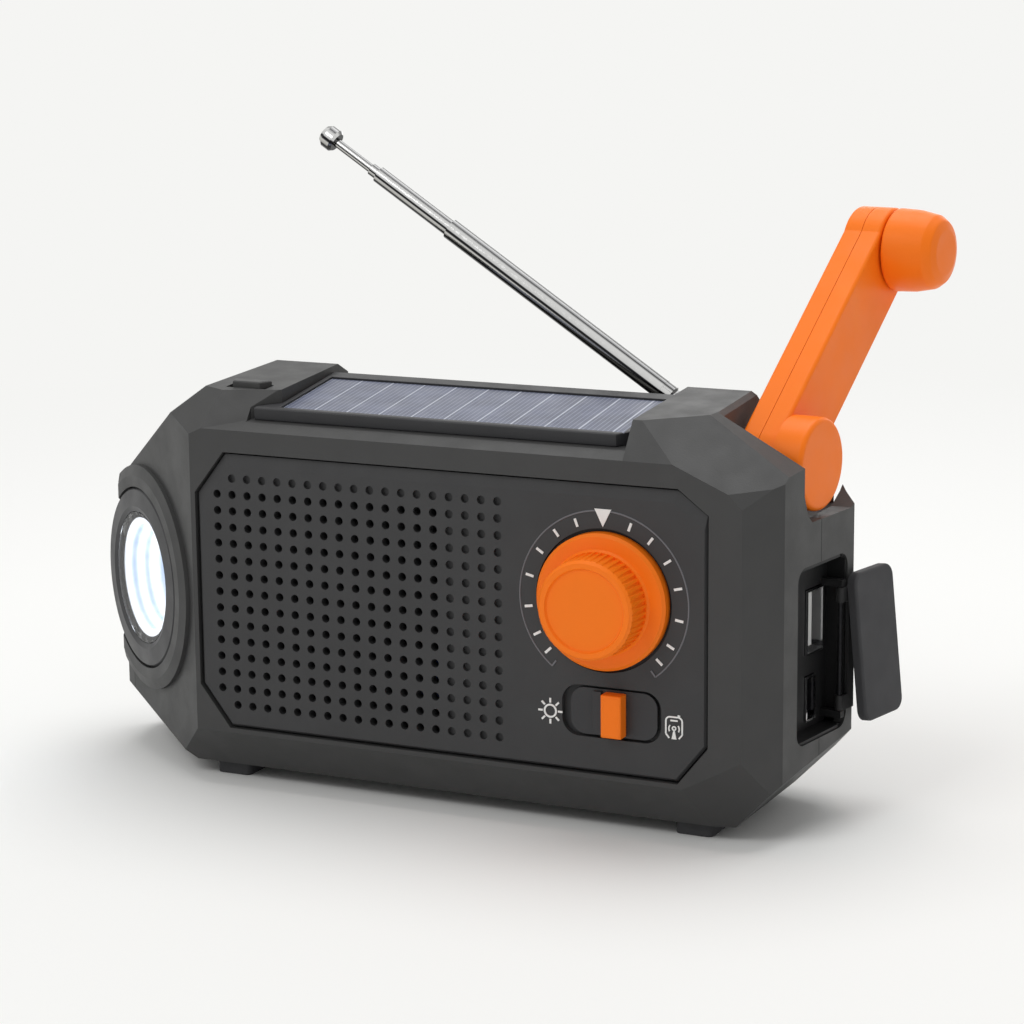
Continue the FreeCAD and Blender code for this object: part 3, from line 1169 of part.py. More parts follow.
straps = new_body("port_straps")
strap_low = "barrel_radius - strap_thickness"
web_length = "strap_reach - web_start"
web = sketch_on(straps, "XY_Plane", strap_low)
draw_outline(web, centred(web_length, "strap_spacing + strap_height", f"web_start + ({web_length}) / 2"))
pad(straps, web, "strap_thickness")
for sign in ("", "0 - "):
    add_plate(straps, centred("strap_reach", "strap_height", "strap_reach / 2", f"{sign}strap_spacing / 2"),
              strap_low, "strap_thickness")
    barrel = sketch_on(straps, "XZ_Plane", f"{sign}strap_spacing / 2 - strap_height / 2")
    draw_circle(barrel, "0", "0", "barrel_radius")
    pad(straps, barrel, "strap_height")
doc.recompute()
through = sketch_on(straps, "XZ_Plane", f"{strap_top} + 1")
draw_circle(through, "0", "0", "cover_pin_radius + strap_gap")
pocket(straps, through, f"2 * ({strap_top}) + 2")
place(straps, on_strap("0", "0", "0"), STRAP_TURN)

cover = plate("port_cover", centred("cover_width", "cover_height", "cover_reach + cover_width / 2", f"0 - ({strap_top})"),
              "cover_thickness", on_strap("0", strap_top, "cover_lift"),
              STRAP_TURN * Rotation(Vector(1, 0, 0), -value("cover_tilt")))
round_edges(cover, "cover_round", upright)
round_edges(cover, "0.6", level_at(value("cover_thickness")))


# Telescopic antenna on a swivel and a fork

MAST = ("mast_x", "mast_y", "mast_z")
lean = math.radians(value("mast_lean"))
ALONG = Vector(-math.cos(lean), 0, math.sin(lean))
REARWARD = Vector(0, 1, 0)
MAST_TURN = Rotation(REARWARD, ALONG.cross(REARWARD), ALONG, "ZXY")
SWIVEL_TURN = Rotation(Vector(0, 1, 0), value("mast_lean")) * facing("180")


def on_mast(along):
    return (f"mast_x - ({along}) * cos(mast_lean)", "mast_y", f"mast_z + ({along}) * sin(mast_lean)")


fork_half = "tongue_width / 2 + fork_gap"
base_face = "mast_y - fork_width / 2 - 0.1"
swivel = disc("antenna_swivel", "swivel_radius", "swivel_length",
              ("mast_x", f"{base_face} - swivel_length", "mast_z"), SWIVEL_TURN)
for sign in ("", "0 - "):
    middle = f"{sign}({fork_half} + 0.8)"
    add_plate(swivel, centred("4.2", "1.6", "0", middle), "swivel_length - 0.1", "fork_width / 2 + 2.6")
cross_bore = sketch_on(swivel, "XZ_Plane", "8")
draw_circle(cross_bore, "0", "swivel_length + fork_width / 2 + 0.1", "mast_pin_radius + pin_gap")
pocket(swivel, cross_bore, "16")
pin_length = f"2 * ({fork_half} + 1.6)"
disc("antenna_pin", "mast_pin_radius", pin_length,
     (f"mast_x - ({pin_length}) / 2 * sin(mast_lean)", "mast_y", f"mast_z - ({pin_length}) / 2 * cos(mast_lean)"),
     Rotation(Vector(0, 1, 0), value("mast_lean")))
tongue = plate("antenna_knuckle", centred("3.6", "tongue_width"), "mast_start + 1.9", on_mast("-1.9"), MAST_TURN)
add_disc(tongue, "collar_radius", "collar_start + 1.9", "mast_start - collar_start")
add_disc(tongue, "neck_radius", "mast_start + 1.8", "1.2")
add_disc(tongue, "tube_two_radius", "mast_start + 2.4", "2.4")
hinge_bore = sketch_on(tongue, "XZ_Plane", "6")
draw_circle(hinge_bore, "0", "1.9", "mast_pin_radius + pin_gap")
pocket(tongue, hinge_bore, "12")


def tube(label, radius, inner, start, end):
    return turned(label, rectangle(inner, radius, "0", f"({end}) - ({start})"), on_mast(start), MAST_TURN)


two_end = "mast_end + tube_two_out"
three_end = f"{two_end} + tube_three_out"
four_end = f"{three_end} + tube_four_out"
tube("antenna_tube_one", "tube_one_radius", "tube_two_radius + tube_fit", "mast_start", "mast_end")
tube("antenna_tube_two", "tube_two_radius", "tube_three_radius + tube_fit",
     f"{two_end} - tube_two_length", two_end)
tube("antenna_tube_three", "tube_three_radius", "tube_four_radius + tube_fit",
     f"{three_end} - tube_three_length", three_end)
tube("antenna_rod", "tube_four_radius", "0", f"{four_end} - tube_four_length", four_end)
turned("antenna_tip",
       [("tube_four_radius", "-0.6"), ("tip_radius - 0.5", "-0.6"), ("tip_radius", "0"),
        ("tip_radius", "tip_length - 1.5"), ("tip_radius - 0.7", "tip_length - 0.5"), ("0.6", "tip_length"),
        ("0", "tip_length"), ("0", "0.05"), ("tube_four_radius", "0.05")],
       on_mast(four_end), MAST_TURN)


# Battery and aerial coil

cell_height = "foot_height + wall + holder_wall + cell_gap + cell_radius"
RIGHT = Rotation(Vector(0, 1, 0), 90)
disc("battery_cell", "cell_radius", "cell_length", ("cell_x - cell_length / 2", "cell_y", cell_height), RIGHT)
coil_y = "rear_y - wall - 0.1 - coil_radius"
disc("ferrite_rod", "ferrite_radius", "ferrite_length", ("ferrite_x - ferrite_length / 2", coil_y, "ferrite_z"), RIGHT)
disc("ferrite_coil", "coil_radius", "coil_length", ("ferrite_x - coil_length / 2", coil_y, "ferrite_z"), RIGHT,
     bore="ferrite_radius + coil_gap")


# Check every piece, then write them

doc.recompute()
faults = [thing.Label for thing in doc.Objects if "Invalid" in thing.State or "Error" in thing.State]
faults += [piece.Label for piece in pieces if piece.Shape.isNull() or not piece.Shape.isValid()]
if faults:
    raise RuntimeError("these could not be built: " + ", ".join(faults))

os.makedirs("parts", exist_ok=True)
for piece in pieces:
    piece.Shape.exportStep(f"parts/{piece.Label}.step")
    box = piece.Shape.BoundBox
    print(f"{piece.Label}: {len(piece.Shape.Solids)} solid(s), {piece.Shape.Volume:.0f} mm3,"
          f" {box.XLength:.1f} x {box.YLength:.1f} x {box.ZLength:.1f} mm")
print(f"{len(pieces)} pieces")
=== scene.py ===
"""Looks of the hand crank weather radio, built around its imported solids. Metres, Z up."""

import math

import bmesh
import bpy
from mathutils import Matrix, Vector


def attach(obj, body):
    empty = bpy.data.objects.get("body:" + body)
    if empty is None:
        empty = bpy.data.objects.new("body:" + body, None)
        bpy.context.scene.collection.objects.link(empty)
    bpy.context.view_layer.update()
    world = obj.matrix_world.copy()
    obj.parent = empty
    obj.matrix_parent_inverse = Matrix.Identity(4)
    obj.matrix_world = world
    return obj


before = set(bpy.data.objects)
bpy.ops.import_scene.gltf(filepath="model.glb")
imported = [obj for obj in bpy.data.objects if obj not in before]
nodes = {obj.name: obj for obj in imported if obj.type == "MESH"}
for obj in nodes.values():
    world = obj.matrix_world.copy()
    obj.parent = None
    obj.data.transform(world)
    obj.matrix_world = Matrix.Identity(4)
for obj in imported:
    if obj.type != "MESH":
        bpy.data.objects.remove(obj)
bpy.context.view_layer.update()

MM = 0.001
# the frame's origin, seen from under the middle of the case
MIDDLE_X = 2.52
MIDDLE_Y = 11.11


def mm(*values):
    return Vector([number * MM for number in values])


def on_case(across, along, up):
    """Point given in millimetres from under the middle of the case."""
    return mm(across - MIDDLE_X, along - MIDDLE_Y, up)


def srgb(code):
    """Linear colour of a #rrggbb code."""
    parts = [int(code[place:place + 2], 16) / 255 for place in (1, 3, 5)]
    return [part / 12.92 if part <= 0.04045 else ((part + 0.055) / 1.055) ** 2.4 for part in parts] + [1.0]


# Materials

class Shader:
    """A material under construction: its nodes, and short ways to add and join them."""

    def __init__(self, name):
        self.material = bpy.data.materials.new(name)
        self.material.use_nodes = True
        self.tree = self.material.node_tree
        self.surface = self.tree.nodes["Principled BSDF"]
        self.place = self.add("ShaderNodeTexCoord").outputs["Object"]

    def add(self, kind, **settings):
        node = self.tree.nodes.new(kind)
        for word, setting in settings.items():
            setattr(node, word, setting)
        return node

    def join(self, start, end):
        self.tree.links.new(start, end)
        return end

    def feed(self, socket, source):
        """Set a socket to a plain number, or join it to another node's output."""
        if isinstance(source, bpy.types.NodeSocket):
            self.join(source, socket)
        else:
            socket.default_value = source

    def math(self, operation, first, second=0.0, third=0.0):
        node = self.add("ShaderNodeMath", operation=operation)
        for socket, source in zip(node.inputs, (first, second, third)):
            self.feed(socket, source)
        return node.outputs[0]

    def noise(self, size, detail=3.0):
        """Noise whose patches are about size metres across."""
        node = self.add("ShaderNodeTexNoise")
        node.inputs["Scale"].default_value = 1 / size
        node.inputs["Detail"].default_value = detail
        self.join(self.place, node.inputs["Vector"])
        return node.outputs["Fac"]

    def spread(self, source, low, high, start=0.3, end=0.7):
        node = self.add("ShaderNodeMapRange")
        for word, setting in (("From Min", start), ("From Max", end), ("To Min", low), ("To Max", high)):
            node.inputs[word].default_value = setting
        self.feed(node.inputs["Value"], source)
        return node.outputs[0]

    def mix(self, factor, first, second):
        node = self.add("ShaderNodeMix", data_type="RGBA")
        self.feed(node.inputs["Factor"], factor)
        self.feed(node.inputs["A"], first)
        self.feed(node.inputs["B"], second)
        return node.outputs["Result"]

    def axes(self):
        node = self.add("ShaderNodeSeparateXYZ")
        self.join(self.place, node.inputs[0])
        return node.outputs

    def bump(self, source, depth):
        """Raise the surface by a texture, by up to depth metres."""
        node = self.add("ShaderNodeBump")
        node.inputs["Distance"].default_value = depth
        node.inputs["Strength"].default_value = 1.0
        self.join(source, node.inputs["Height"])
        self.join(node.outputs[0], self.surface.inputs["Normal"])

    def rubbed(self):
        """Share that rises in the few patches that handling has rubbed."""
        return self.spread(self.noise(0.011, 5.0), 0.0, 0.4, 0.62, 0.8)


# Height of the grain on a moulded face, in metres
GRAIN_DEPTH = 0.00002
SMOOTH_DEPTH = 0.000004


def plastic(name, colour, rough=0.5, grain=0.00035, grain_depth=GRAIN_DEPTH, shift=0.14, worn=None,
            specular=0.36):
    """Moulded plastic: fine grain, slow cloudy change of tone, a few rubbed patches where worn is given."""
    shader = Shader(name)
    base = srgb(colour)
    darker = [part * (1 - shift) for part in base[:3]] + [1.0]
    lighter = [min(1.0, part * (1 + shift)) for part in base[:3]] + [1.0]
    cloudy = shader.mix(shader.spread(shader.noise(0.018, 4.0), 0.0, 1.0), darker, lighter)
    speckled = shader.mix(shader.spread(shader.noise(grain, 2.0), 0.0, 0.35, 0.35, 0.75), cloudy, lighter)
    tone = shader.mix(shader.rubbed(), speckled, srgb(worn)) if worn else speckled
    shader.join(tone, shader.surface.inputs["Base Color"])
    shader.join(shader.spread(shader.noise(0.006, 4.0), rough - 0.06, rough + 0.08),
                shader.surface.inputs["Roughness"])
    shader.surface.inputs["Specular IOR Level"].default_value = specular
    shader.bump(shader.noise(grain, 2.0), grain_depth)
    return shader.material


def metal(name, colour, rough=0.16):
    """Metal with a slow change of tone and fine scratches."""
    shader = Shader(name)
    base = srgb(colour)
    dim = [part * 0.82 for part in base[:3]] + [1.0]
    shader.join(shader.mix(shader.spread(shader.noise(0.006, 4.0), 0.0, 1.0), dim, base),
                shader.surface.inputs["Base Color"])
    shader.surface.inputs["Metallic"].default_value = 1.0
    shader.join(shader.spread(shader.noise(0.0008, 4.0), rough * 0.7, rough * 1.5),
                shader.surface.inputs["Roughness"])
    shader.bump(shader.noise(0.0005, 3.0), SMOOTH_DEPTH)
    return shader.material


case_plastic = plastic("case_plastic", "#3a3a3a", rough=0.5, shift=0.04, worn="#424242")
panel_plastic = plastic("panel_plastic", "#363637", rough=0.54, shift=0.04, worn="#3e3e3f")
trim_plastic = plastic("trim_plastic", "#313133", rough=0.42, shift=0.04, worn="#39393b")
pocket_plastic = plastic("pocket_plastic", "#171718", rough=0.5, shift=0.04, specular=0.25)
ring_plastic = plastic("ring_plastic", "#6c6c70", rough=0.5, shift=0.04)
orange_plastic = plastic("orange_plastic", "#fc7a14", rough=0.42, grain=0.0003, grain_depth=0.000005,
                         shift=0.03, worn="#fc8420", specular=0.22)
rubber = plastic("rubber", "#3c3c3e", rough=0.68, grain_depth=0.000014, shift=0.05, worn="#444446",
                 specular=0.3)
strap_rubber = plastic("strap_rubber", "#1d1d1e", rough=0.6, grain_depth=0.000014, shift=0.05, specular=0.3)
mark_white = plastic("mark_white", "#e9e9e7", rough=0.6, grain_depth=0.000003, shift=0.03)
gear_plastic = plastic("gear_plastic", "#e6e2d6", rough=0.4, grain_depth=SMOOTH_DEPTH, shift=0.05)
tongue_plastic = plastic("tongue_plastic", "#242427", rough=0.4)
tongue_white = plastic("tongue_white", "#d9d9d7", rough=0.4, shift=0.03)
board_green = plastic("board_green", "#1f5f38", rough=0.35, grain=0.0012, grain_depth=0.000006)
cell_wrap = plastic("cell_wrap", "#3f63b4", rough=0.32, grain_depth=SMOOTH_DEPTH)
cone_paper = plastic("cone_paper", "#131313", rough=0.85, grain=0.0008, grain_depth=0.00005, specular=0.2)
ferrite = plastic("ferrite", "#3a3838", rough=0.6, grain=0.0006)
chrome = metal("chrome", "#d2d2d4", rough=0.13)
steel = metal("steel", "#a5a6a8", rough=0.3)
dark_steel = metal("dark_steel", "#2c2c2e", rough=0.5)
brass = metal("brass", "#c8a35a", rough=0.28)
MAST_LEAN = math.radians(32.95)
# painted reflection bands across a tube, dark and bright, from its lower edge to its upper edge
PAINTED_TUBE_REFLECTIONS = ((0.0, "#7d7c78"), (0.12, "#1c1c1e"), (0.24, "#202022"), (0.3, "#a9a8a4"), (0.42, "#c6c5c2"),
               (0.47, "#2a2a2c"), (0.56, "#1a1a1c"), (0.6, "#c9c9c9"), (0.84, "#d6d6d6"), (0.9, "#222224"),
               (1.0, "#8a8a8a"))


def tube_chrome_painted_reflections():
    """Polished tube with painted reflections: long dark and bright bands painted into its colour by which
    way the surface faces.
    """
    shader = Shader("tube_chrome_painted_reflections")
    facing = shader.add("ShaderNodeSeparateXYZ")
    shader.join(shader.add("ShaderNodeTexCoord").outputs["Normal"], facing.inputs[0])
    sideways = shader.math("MULTIPLY", facing.outputs[0], math.sin(MAST_LEAN))
    height = shader.math("MULTIPLY_ADD", facing.outputs[2], math.cos(MAST_LEAN), sideways)
    wavy = shader.math("MULTIPLY_ADD", shader.noise(0.012, 2.0), 0.03, height)
    # painted reflection: the colour turns dark or bright with the way the surface faces
    painted_reflection_bands = shader.add("ShaderNodeValToRGB")
    shader.join(shader.spread(wavy, 0.0, 1.0, -0.985, 1.015), painted_reflection_bands.inputs[0])
    stops = painted_reflection_bands.color_ramp.elements
    for where, code in PAINTED_TUBE_REFLECTIONS[1:-1]:
        stops.new(where).color = srgb(code)
    for end in (0, -1):
        stops[end].color = srgb(PAINTED_TUBE_REFLECTIONS[end][1])
    shader.join(painted_reflection_bands.outputs[0], shader.surface.inputs["Base Color"])
    shader.surface.inputs["Metallic"].default_value = 1.0
    shader.join(shader.spread(shader.noise(0.0008, 4.0), 0.1, 0.2), shader.surface.inputs["Roughness"])
    shader.bump(shader.noise(0.0005, 3.0), 0.000003)
    return shader.material


TORCH_HEADING = math.radians(-36.9)
MIRROR_RING = 2.6 * MM


def painted_glow_mirror():
    """Reflector with painted light: it glows though it is no lamp, and painted reflection rings run light
    and dark along its depth.
    """
    shader = Shader("painted_glow_mirror")
    across, along = shader.axes()[:2]
    depth = shader.math("MULTIPLY", across, math.sin(TORCH_HEADING))
    depth = shader.math("MULTIPLY_ADD", along, -math.cos(TORCH_HEADING), depth)
    ring = shader.math("SINE", shader.math("MULTIPLY", depth, 2 * math.pi / MIRROR_RING))
    ring = shader.math("MULTIPLY_ADD", shader.noise(0.003, 3.0), 0.9, ring)
    # painted reflection: bluish to white rings along the depth
    tone = shader.mix(shader.spread(ring, 0.0, 1.0, -0.8, 1.2), srgb("#8fa6c4"), srgb("#f4f8ff"))
    shader.join(tone, shader.surface.inputs["Base Color"])
    # painted light: the reflector glows with its own colour
    shader.join(tone, shader.surface.inputs["Emission Color"])
    shader.surface.inputs["Emission Strength"].default_value = 0.75
    shader.surface.inputs["Metallic"].default_value = 0.7
    shader.join(shader.spread(shader.noise(0.002), 0.1, 0.2), shader.surface.inputs["Roughness"])
    shader.bump(shader.noise(0.003), 0.00001)
    return shader.material


WIRE_PITCH = 0.35 * MM


def copper_wire():
    """Enamelled wire wound in turns side by side, with painted shade between the turns and a painted
    highlight on each turn.
    """
    shader = Shader("copper")
    turns = shader.math("SINE", shader.math("MULTIPLY", shader.axes()[0], 2 * math.pi / WIRE_PITCH))
    # painted shade and highlight: darker copper in the grooves between turns, lighter on their crowns
    shader.join(shader.mix(shader.spread(turns, 0.0, 1.0, -1, 1), srgb("#7a3a1c"), srgb("#c87a4a")),
                shader.surface.inputs["Base Color"])
    shader.join(shader.spread(shader.noise(0.003), 0.25, 0.4), shader.surface.inputs["Roughness"])
    shader.surface.inputs["Metallic"].default_value = 0.8
    shader.bump(turns, 0.00008)
    return shader.material


copper = copper_wire()
chrome_tube_painted_reflections = tube_chrome_painted_reflections()
mirror_painted_glow = painted_glow_mirror()


def lens_material():
    """Clear moulded lens with faint swirls."""
    shader = Shader("clear_lens")
    shader.join(shader.mix(shader.spread(shader.noise(0.01), 0.0, 1.0), srgb("#f4f6f8"), srgb("#ffffff")),
                shader.surface.inputs["Base Color"])
    shader.surface.inputs["Transmission Weight"].default_value = 1.0
    shader.surface.inputs["IOR"].default_value = 1.2
    shader.join(shader.spread(shader.noise(0.002), 0.02, 0.08), shader.surface.inputs["Roughness"])
    shader.bump(shader.noise(0.004), 0.00002)
    return shader.material


clear_lens = lens_material()


def glow(name, colour, strength, base="#fff6e6"):
    shader = Shader(name)
    shader.join(shader.mix(shader.spread(shader.noise(0.002), 0.0, 1.0), srgb(base), srgb("#ffffff")),
                shader.surface.inputs["Base Color"])
    shader.surface.inputs["Emission Color"].default_value = srgb(colour)
    shader.surface.inputs["Emission Strength"].default_value = strength
    shader.join(shader.spread(shader.noise(0.001), 0.3, 0.4), shader.surface.inputs["Roughness"])
    return shader.material


lamp_white = glow("lamp_white", "#f6f9ff", 14.0)

# Solar cells: strips between silver lines that run from front to rear

SOLAR_LEFT = (-29.7 - MIDDLE_X) * MM
STRIP_PITCH = 7.3 * MM
STRIP_LINE = 0.3 * MM
FINGER_PITCH = 1.04 * MM
FINGER_LINE = 0.2 * MM
FINGER_SHARE = 0.35


def solar_material():
    """Blue-grey cells with fine silver lines under a clear coat."""
    shader = Shader("solar_cells")
    from_left = shader.math("SUBTRACT", shader.axes()[0], SOLAR_LEFT)

    def line(pitch, width):
        """One on a thin line at every pitch, nought between the lines."""
        turn = shader.math("FRACT", shader.math("DIVIDE", from_left, pitch))
        middle = shader.math("ABSOLUTE", shader.math("SUBTRACT", turn, 0.5))
        return shader.math("GREATER_THAN", middle, 0.5 - width / pitch / 2)

    bars = line(STRIP_PITCH, STRIP_LINE)
    fingers = shader.math("MULTIPLY", line(FINGER_PITCH, FINGER_LINE), FINGER_SHARE)
    silver = shader.math("MAXIMUM", bars, fingers)
    cell = shader.mix(shader.spread(shader.noise(0.009, 5.0), 0.0, 1.0), srgb("#4c5164"), srgb("#666c82"))
    shader.join(shader.mix(silver, cell, srgb("#b9bdc9")), shader.surface.inputs["Base Color"])
    shader.join(shader.spread(shader.noise(0.004), 0.28, 0.4), shader.surface.inputs["Roughness"])
    shader.surface.inputs["Specular IOR Level"].default_value = 0.3
    shader.surface.inputs["Coat Weight"].default_value = 0.1
    shader.surface.inputs["Coat Roughness"].default_value = 0.12
    shader.bump(silver, 0.00001)
    return shader.material


solar_cells = solar_material()

FINISHES = {
    case_plastic: ("front_shell", "rear_shell", "power_button"),
    panel_plastic: ("front_panel",),
    trim_plastic: ("torch_bezel", "solar_frame", "mode_slider"),
    pocket_plastic: ("port_frame",),
    orange_plastic: ("tuning_knob", "mode_grip", "crank_arm_inner", "crank_arm_outer", "crank_hub",
                     "crank_grip"),
    rubber: ("rubber_feet", "port_cover"),
    strap_rubber: ("port_straps",),
    solar_cells: ("solar_panel",),
    clear_lens: ("torch_lens",),
    mirror_painted_glow: ("torch_reflector",),
    lamp_white: ("torch_led",),
    board_green: ("power_switch", "torch_led_board", "main_board", "usb_board"),
    gear_plastic: ("tuning_capacitor", "tuning_shaft", "drive_gear", "middle_gear", "fast_gear"),
    chrome: ("usb_a_shell", "usb_c_shell"),
    chrome_tube_painted_reflections: ("antenna_knuckle", "antenna_tube_one", "antenna_tube_two", "antenna_tube_three",
                  "antenna_rod", "antenna_tip"),
    dark_steel: ("speaker_basket", "cover_hinge_pin"),
    steel: ("case_screws", "mode_switch_body", "crank_shaft", "grip_pin", "gear_plate_outer",
            "gear_plate_inner", "gear_axles", "dynamo_can", "dynamo_rotor", "antenna_swivel", "antenna_pin"),
    tongue_white: ("usb_a_tongue",),
    tongue_plastic: ("usb_c_tongue",),
    cone_paper: ("speaker_cone",),
    ferrite: ("speaker_magnet", "ferrite_rod"),
    copper: ("dynamo_stator", "ferrite_coil"),
    brass: ("dynamo_bushes",),
    cell_wrap: ("battery_cell",),
}
for finish, names in FINISHES.items():
    for name in names:
        nodes[name].data.materials.clear()
        nodes[name].data.materials.append(finish)


def soften(name, radius, angle=11.0, segments=2):
    """Round a node's sharp edges a little, as moulding does."""
    thing = nodes[name]
    weld = thing.modifiers.new("weld", "WELD")
    weld.merge_threshold = 0.002 * MM
    flat = thing.modifiers.new("flat", "DECIMATE")
    flat.decimate_type = "DISSOLVE"
    flat.angle_limit = math.radians(0.5)
    bevel = thing.modifiers.new("edges", "BEVEL")
    bevel.width = radius * MM
    bevel.segments = segments
    bevel.limit_method = "ANGLE"
    bevel.angle_limit = math.radians(angle)
    # Large faces stay flat, and only the narrow rounded edges shade round
    shading = thing.modifiers.new("shading", "WEIGHTED_NORMAL")
    shading.weight = 100
    for face in thing.data.polygons:
        face.use_smooth = True


# Edge radii in millimetres
EDGES = {
    0.35: ("front_shell", "rear_shell"),
    0.3: ("crank_hub", "rubber_feet"),
    0.25: ("crank_arm_inner", "crank_arm_outer"),
    0.2: ("port_frame", "mode_grip", "power_button"),
    0.15: ("port_straps", "mode_slider", "solar_frame"),
    0.1: ("solar_panel",),
}
for radius, names in EDGES.items():
    for name in names:
        soften(name, radius)
soften("crank_grip", 0.7, angle=9.0, segments=4)


# Printed marks on the front panel

PANEL_Y = -23.65
MARK_RISE = 0.16
MARK_SINK = 0.03
KNOB_X = 43.76
KNOB_Z = 47.56


def as_piece(name, work, finish):
    """Make a piece of the case from a finished bmesh."""
    mesh = bpy.data.meshes.new(name)
    work.to_mesh(mesh)
    work.free()
    mesh.materials.append(finish)
    thing = bpy.data.objects.new(name, mesh)
    bpy.context.scene.collection.objects.link(thing)
    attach(thing, "case")
    return thing


def flat_mark(name, outlines, finish):
    """Thin raised shapes on the panel, from outlines given as (x, z) in millimetres."""
    work = bmesh.new()
    for outline in outlines:
        corners = [work.verts.new(on_case(x, PANEL_Y + MARK_SINK, z)) for x, z in outline]
        face = work.faces.new(corners)
        face.normal_update()
        raised = bmesh.ops.extrude_face_region(work, geom=[face])
        moved = [item for item in raised["geom"] if isinstance(item, bmesh.types.BMVert)]
        bmesh.ops.translate(work, vec=mm(0, -MARK_RISE - MARK_SINK, 0), verts=moved)
    bmesh.ops.recalc_face_normals(work, faces=work.faces)
    return as_piece(name, work, finish)


def around(x, z, radius, angle):
    """Point at a clock angle in degrees, from straight up and turning to the right."""
    turn = math.radians(angle)
    return x + radius * math.sin(turn), z + radius * math.cos(turn)


def arc_band(x, z, inner, outer, start, end, steps=72):
    """Quads that fill a band between two radii."""
    quads = []
    for step in range(steps):
        first = start + (end - start) * step / steps
        second = start + (end - start) * (step + 1) / steps
        quads.append([around(x, z, inner, first), around(x, z, outer, first),
                      around(x, z, outer, second), around(x, z, inner, second)])
    return quads


def stroke(start, end, width):
    """Straight line of a given width as a four-sided outline."""
    along = Vector(end) - Vector(start)
    side = Vector((-along.y, along.x)).normalized() * width / 2
    return [tuple(Vector(start) + side), tuple(Vector(start) - side), tuple(Vector(end) - side),
            tuple(Vector(end) + side)]


def spoke(x, z, inner, outer, angle, width):
    """Straight line that points away from a centre, between two radii."""
    return stroke(around(x, z, inner, angle), around(x, z, outer, angle), width)


# Angles and radii of the dial's ticks, which are the same on both sides
TICK_ANGLES = (20.5, 38.0, 56.6, 76.4, 98.7, 118.8, 133.0)
TICK_START = 15.2
TICK_END = 16.9
TICK_WIDTH = 0.5
ticks = [spoke(KNOB_X, KNOB_Z, TICK_START, TICK_END, side * angle, TICK_WIDTH)
         for angle in TICK_ANGLES for side in (-1, 1)]
flat_mark("dial_ticks", ticks, mark_white)

POINTER_TOP = 65.7
POINTER_LOW = 62.2
POINTER_HALF = 1.75
flat_mark("dial_pointer", [[(KNOB_X - POINTER_HALF, POINTER_TOP), (KNOB_X, POINTER_LOW),
                            (KNOB_X + POINTER_HALF, POINTER_TOP)]], mark_white)

# Thin ring around the ticks, open at the bottom: radii and heights across it
RING_PROFILE = ((17.6, 0.0), (17.68, 0.14), (17.87, 0.14), (17.95, 0.0))
RING_STEPS = 120
RING_HALF_TURN = 142
RING_SINK = 0.02


def dial_ring():
    work = bmesh.new()
    previous = None
    for step in range(RING_STEPS + 1):
        angle = RING_HALF_TURN * (2 * step / RING_STEPS - 1)
        row = []
        for radius, rise in RING_PROFILE:
            x, z = around(KNOB_X, KNOB_Z, radius, angle)
            row.append(work.verts.new(on_case(x, PANEL_Y - rise + RING_SINK, z)))
        if previous:
            for left in range(len(row) - 1):
                work.faces.new((previous[left], row[left], row[left + 1], previous[left + 1]))
        previous = row
    bmesh.ops.recalc_face_normals(work, faces=work.faces)
    return as_piece("dial_ring", work, ring_plastic)


dial_ring()
RING_END_START = 16.3
RING_END_END = 17.8
RING_END_WIDTH = 0.3
flat_mark("dial_ends", [spoke(KNOB_X, KNOB_Z, RING_END_START, RING_END_END, angle, RING_END_WIDTH)
                        for angle in (-RING_HALF_TURN, RING_HALF_TURN)], ring_plastic)

# Sun: a ring and eight rays
SUN = (32.4, 24.4)
SUN_INNER = 1.05
SUN_OUTER = 1.42
RAY_START = 1.65
RAY_END = 2.6
RAY_WIDTH = 0.38
rays = [spoke(*SUN, RAY_START, RAY_END, turn, RAY_WIDTH) for turn in range(0, 360, 45)]
flat_mark("sun_mark", arc_band(*SUN, SUN_INNER, SUN_OUTER, 0, 360, 32) + rays, mark_white)

RADIO = (58.6, 24.1)
RADIO_LINE = 0.3


def from_radio(x, z):
    return RADIO[0] + x, RADIO[1] + z


def radio_lines():
    """A small radio: a rounded box open below, with a bar, two waves, a ring on a mast, and an antenna."""

    def line(start, end):
        return stroke(from_radio(*start), from_radio(*end), RADIO_LINE)

    # The box
    shapes = arc_band(*from_radio(-0.85, 1.05), 0.7, 1.0, -90, 0, 10)
    shapes += arc_band(*from_radio(0.85, 1.05), 0.7, 1.0, 0, 90, 10)
    shapes.append(line((-0.85, 1.9), (0.85, 1.9)))
    for side in (-1, 1):
        shapes.append(line((side * 1.7, 1.05), (side * 1.7, -1.5)))
        shapes.append(line((side * 1.7, -1.5), (side * 1.0, -2.35)))
    # The bar and the waves
    shapes.append(line((-0.75, 1.2), (0.75, 1.2)))
    shapes += arc_band(*from_radio(0.0, -0.45), 0.95, 1.2, 50, 120, 12)
    shapes += arc_band(*from_radio(0.0, -0.45), 0.95, 1.2, -120, -50, 12)
    # The ring, the mast and the antenna
    shapes += arc_band(*from_radio(0.0, -0.35), 0.22, 0.48, 0, 360, 20)
    mast = ((-0.14, -0.8), (0.14, -0.8), (0.5, -2.5), (-0.5, -2.5))
    shapes.append([from_radio(*corner) for corner in mast])
    shapes.append(line((0.75, 2.25), (1.25, 2.15)))
    return shapes


flat_mark("radio_mark", radio_lines(), mark_white)


# Floor, backdrop and light

BACKGROUND = "#f5f5f3"
# Distances in metres between which the floor fades to the plain background
FADE_START = 0.2
FADE_END = 0.55
FLOOR_RADIUS = 6.0


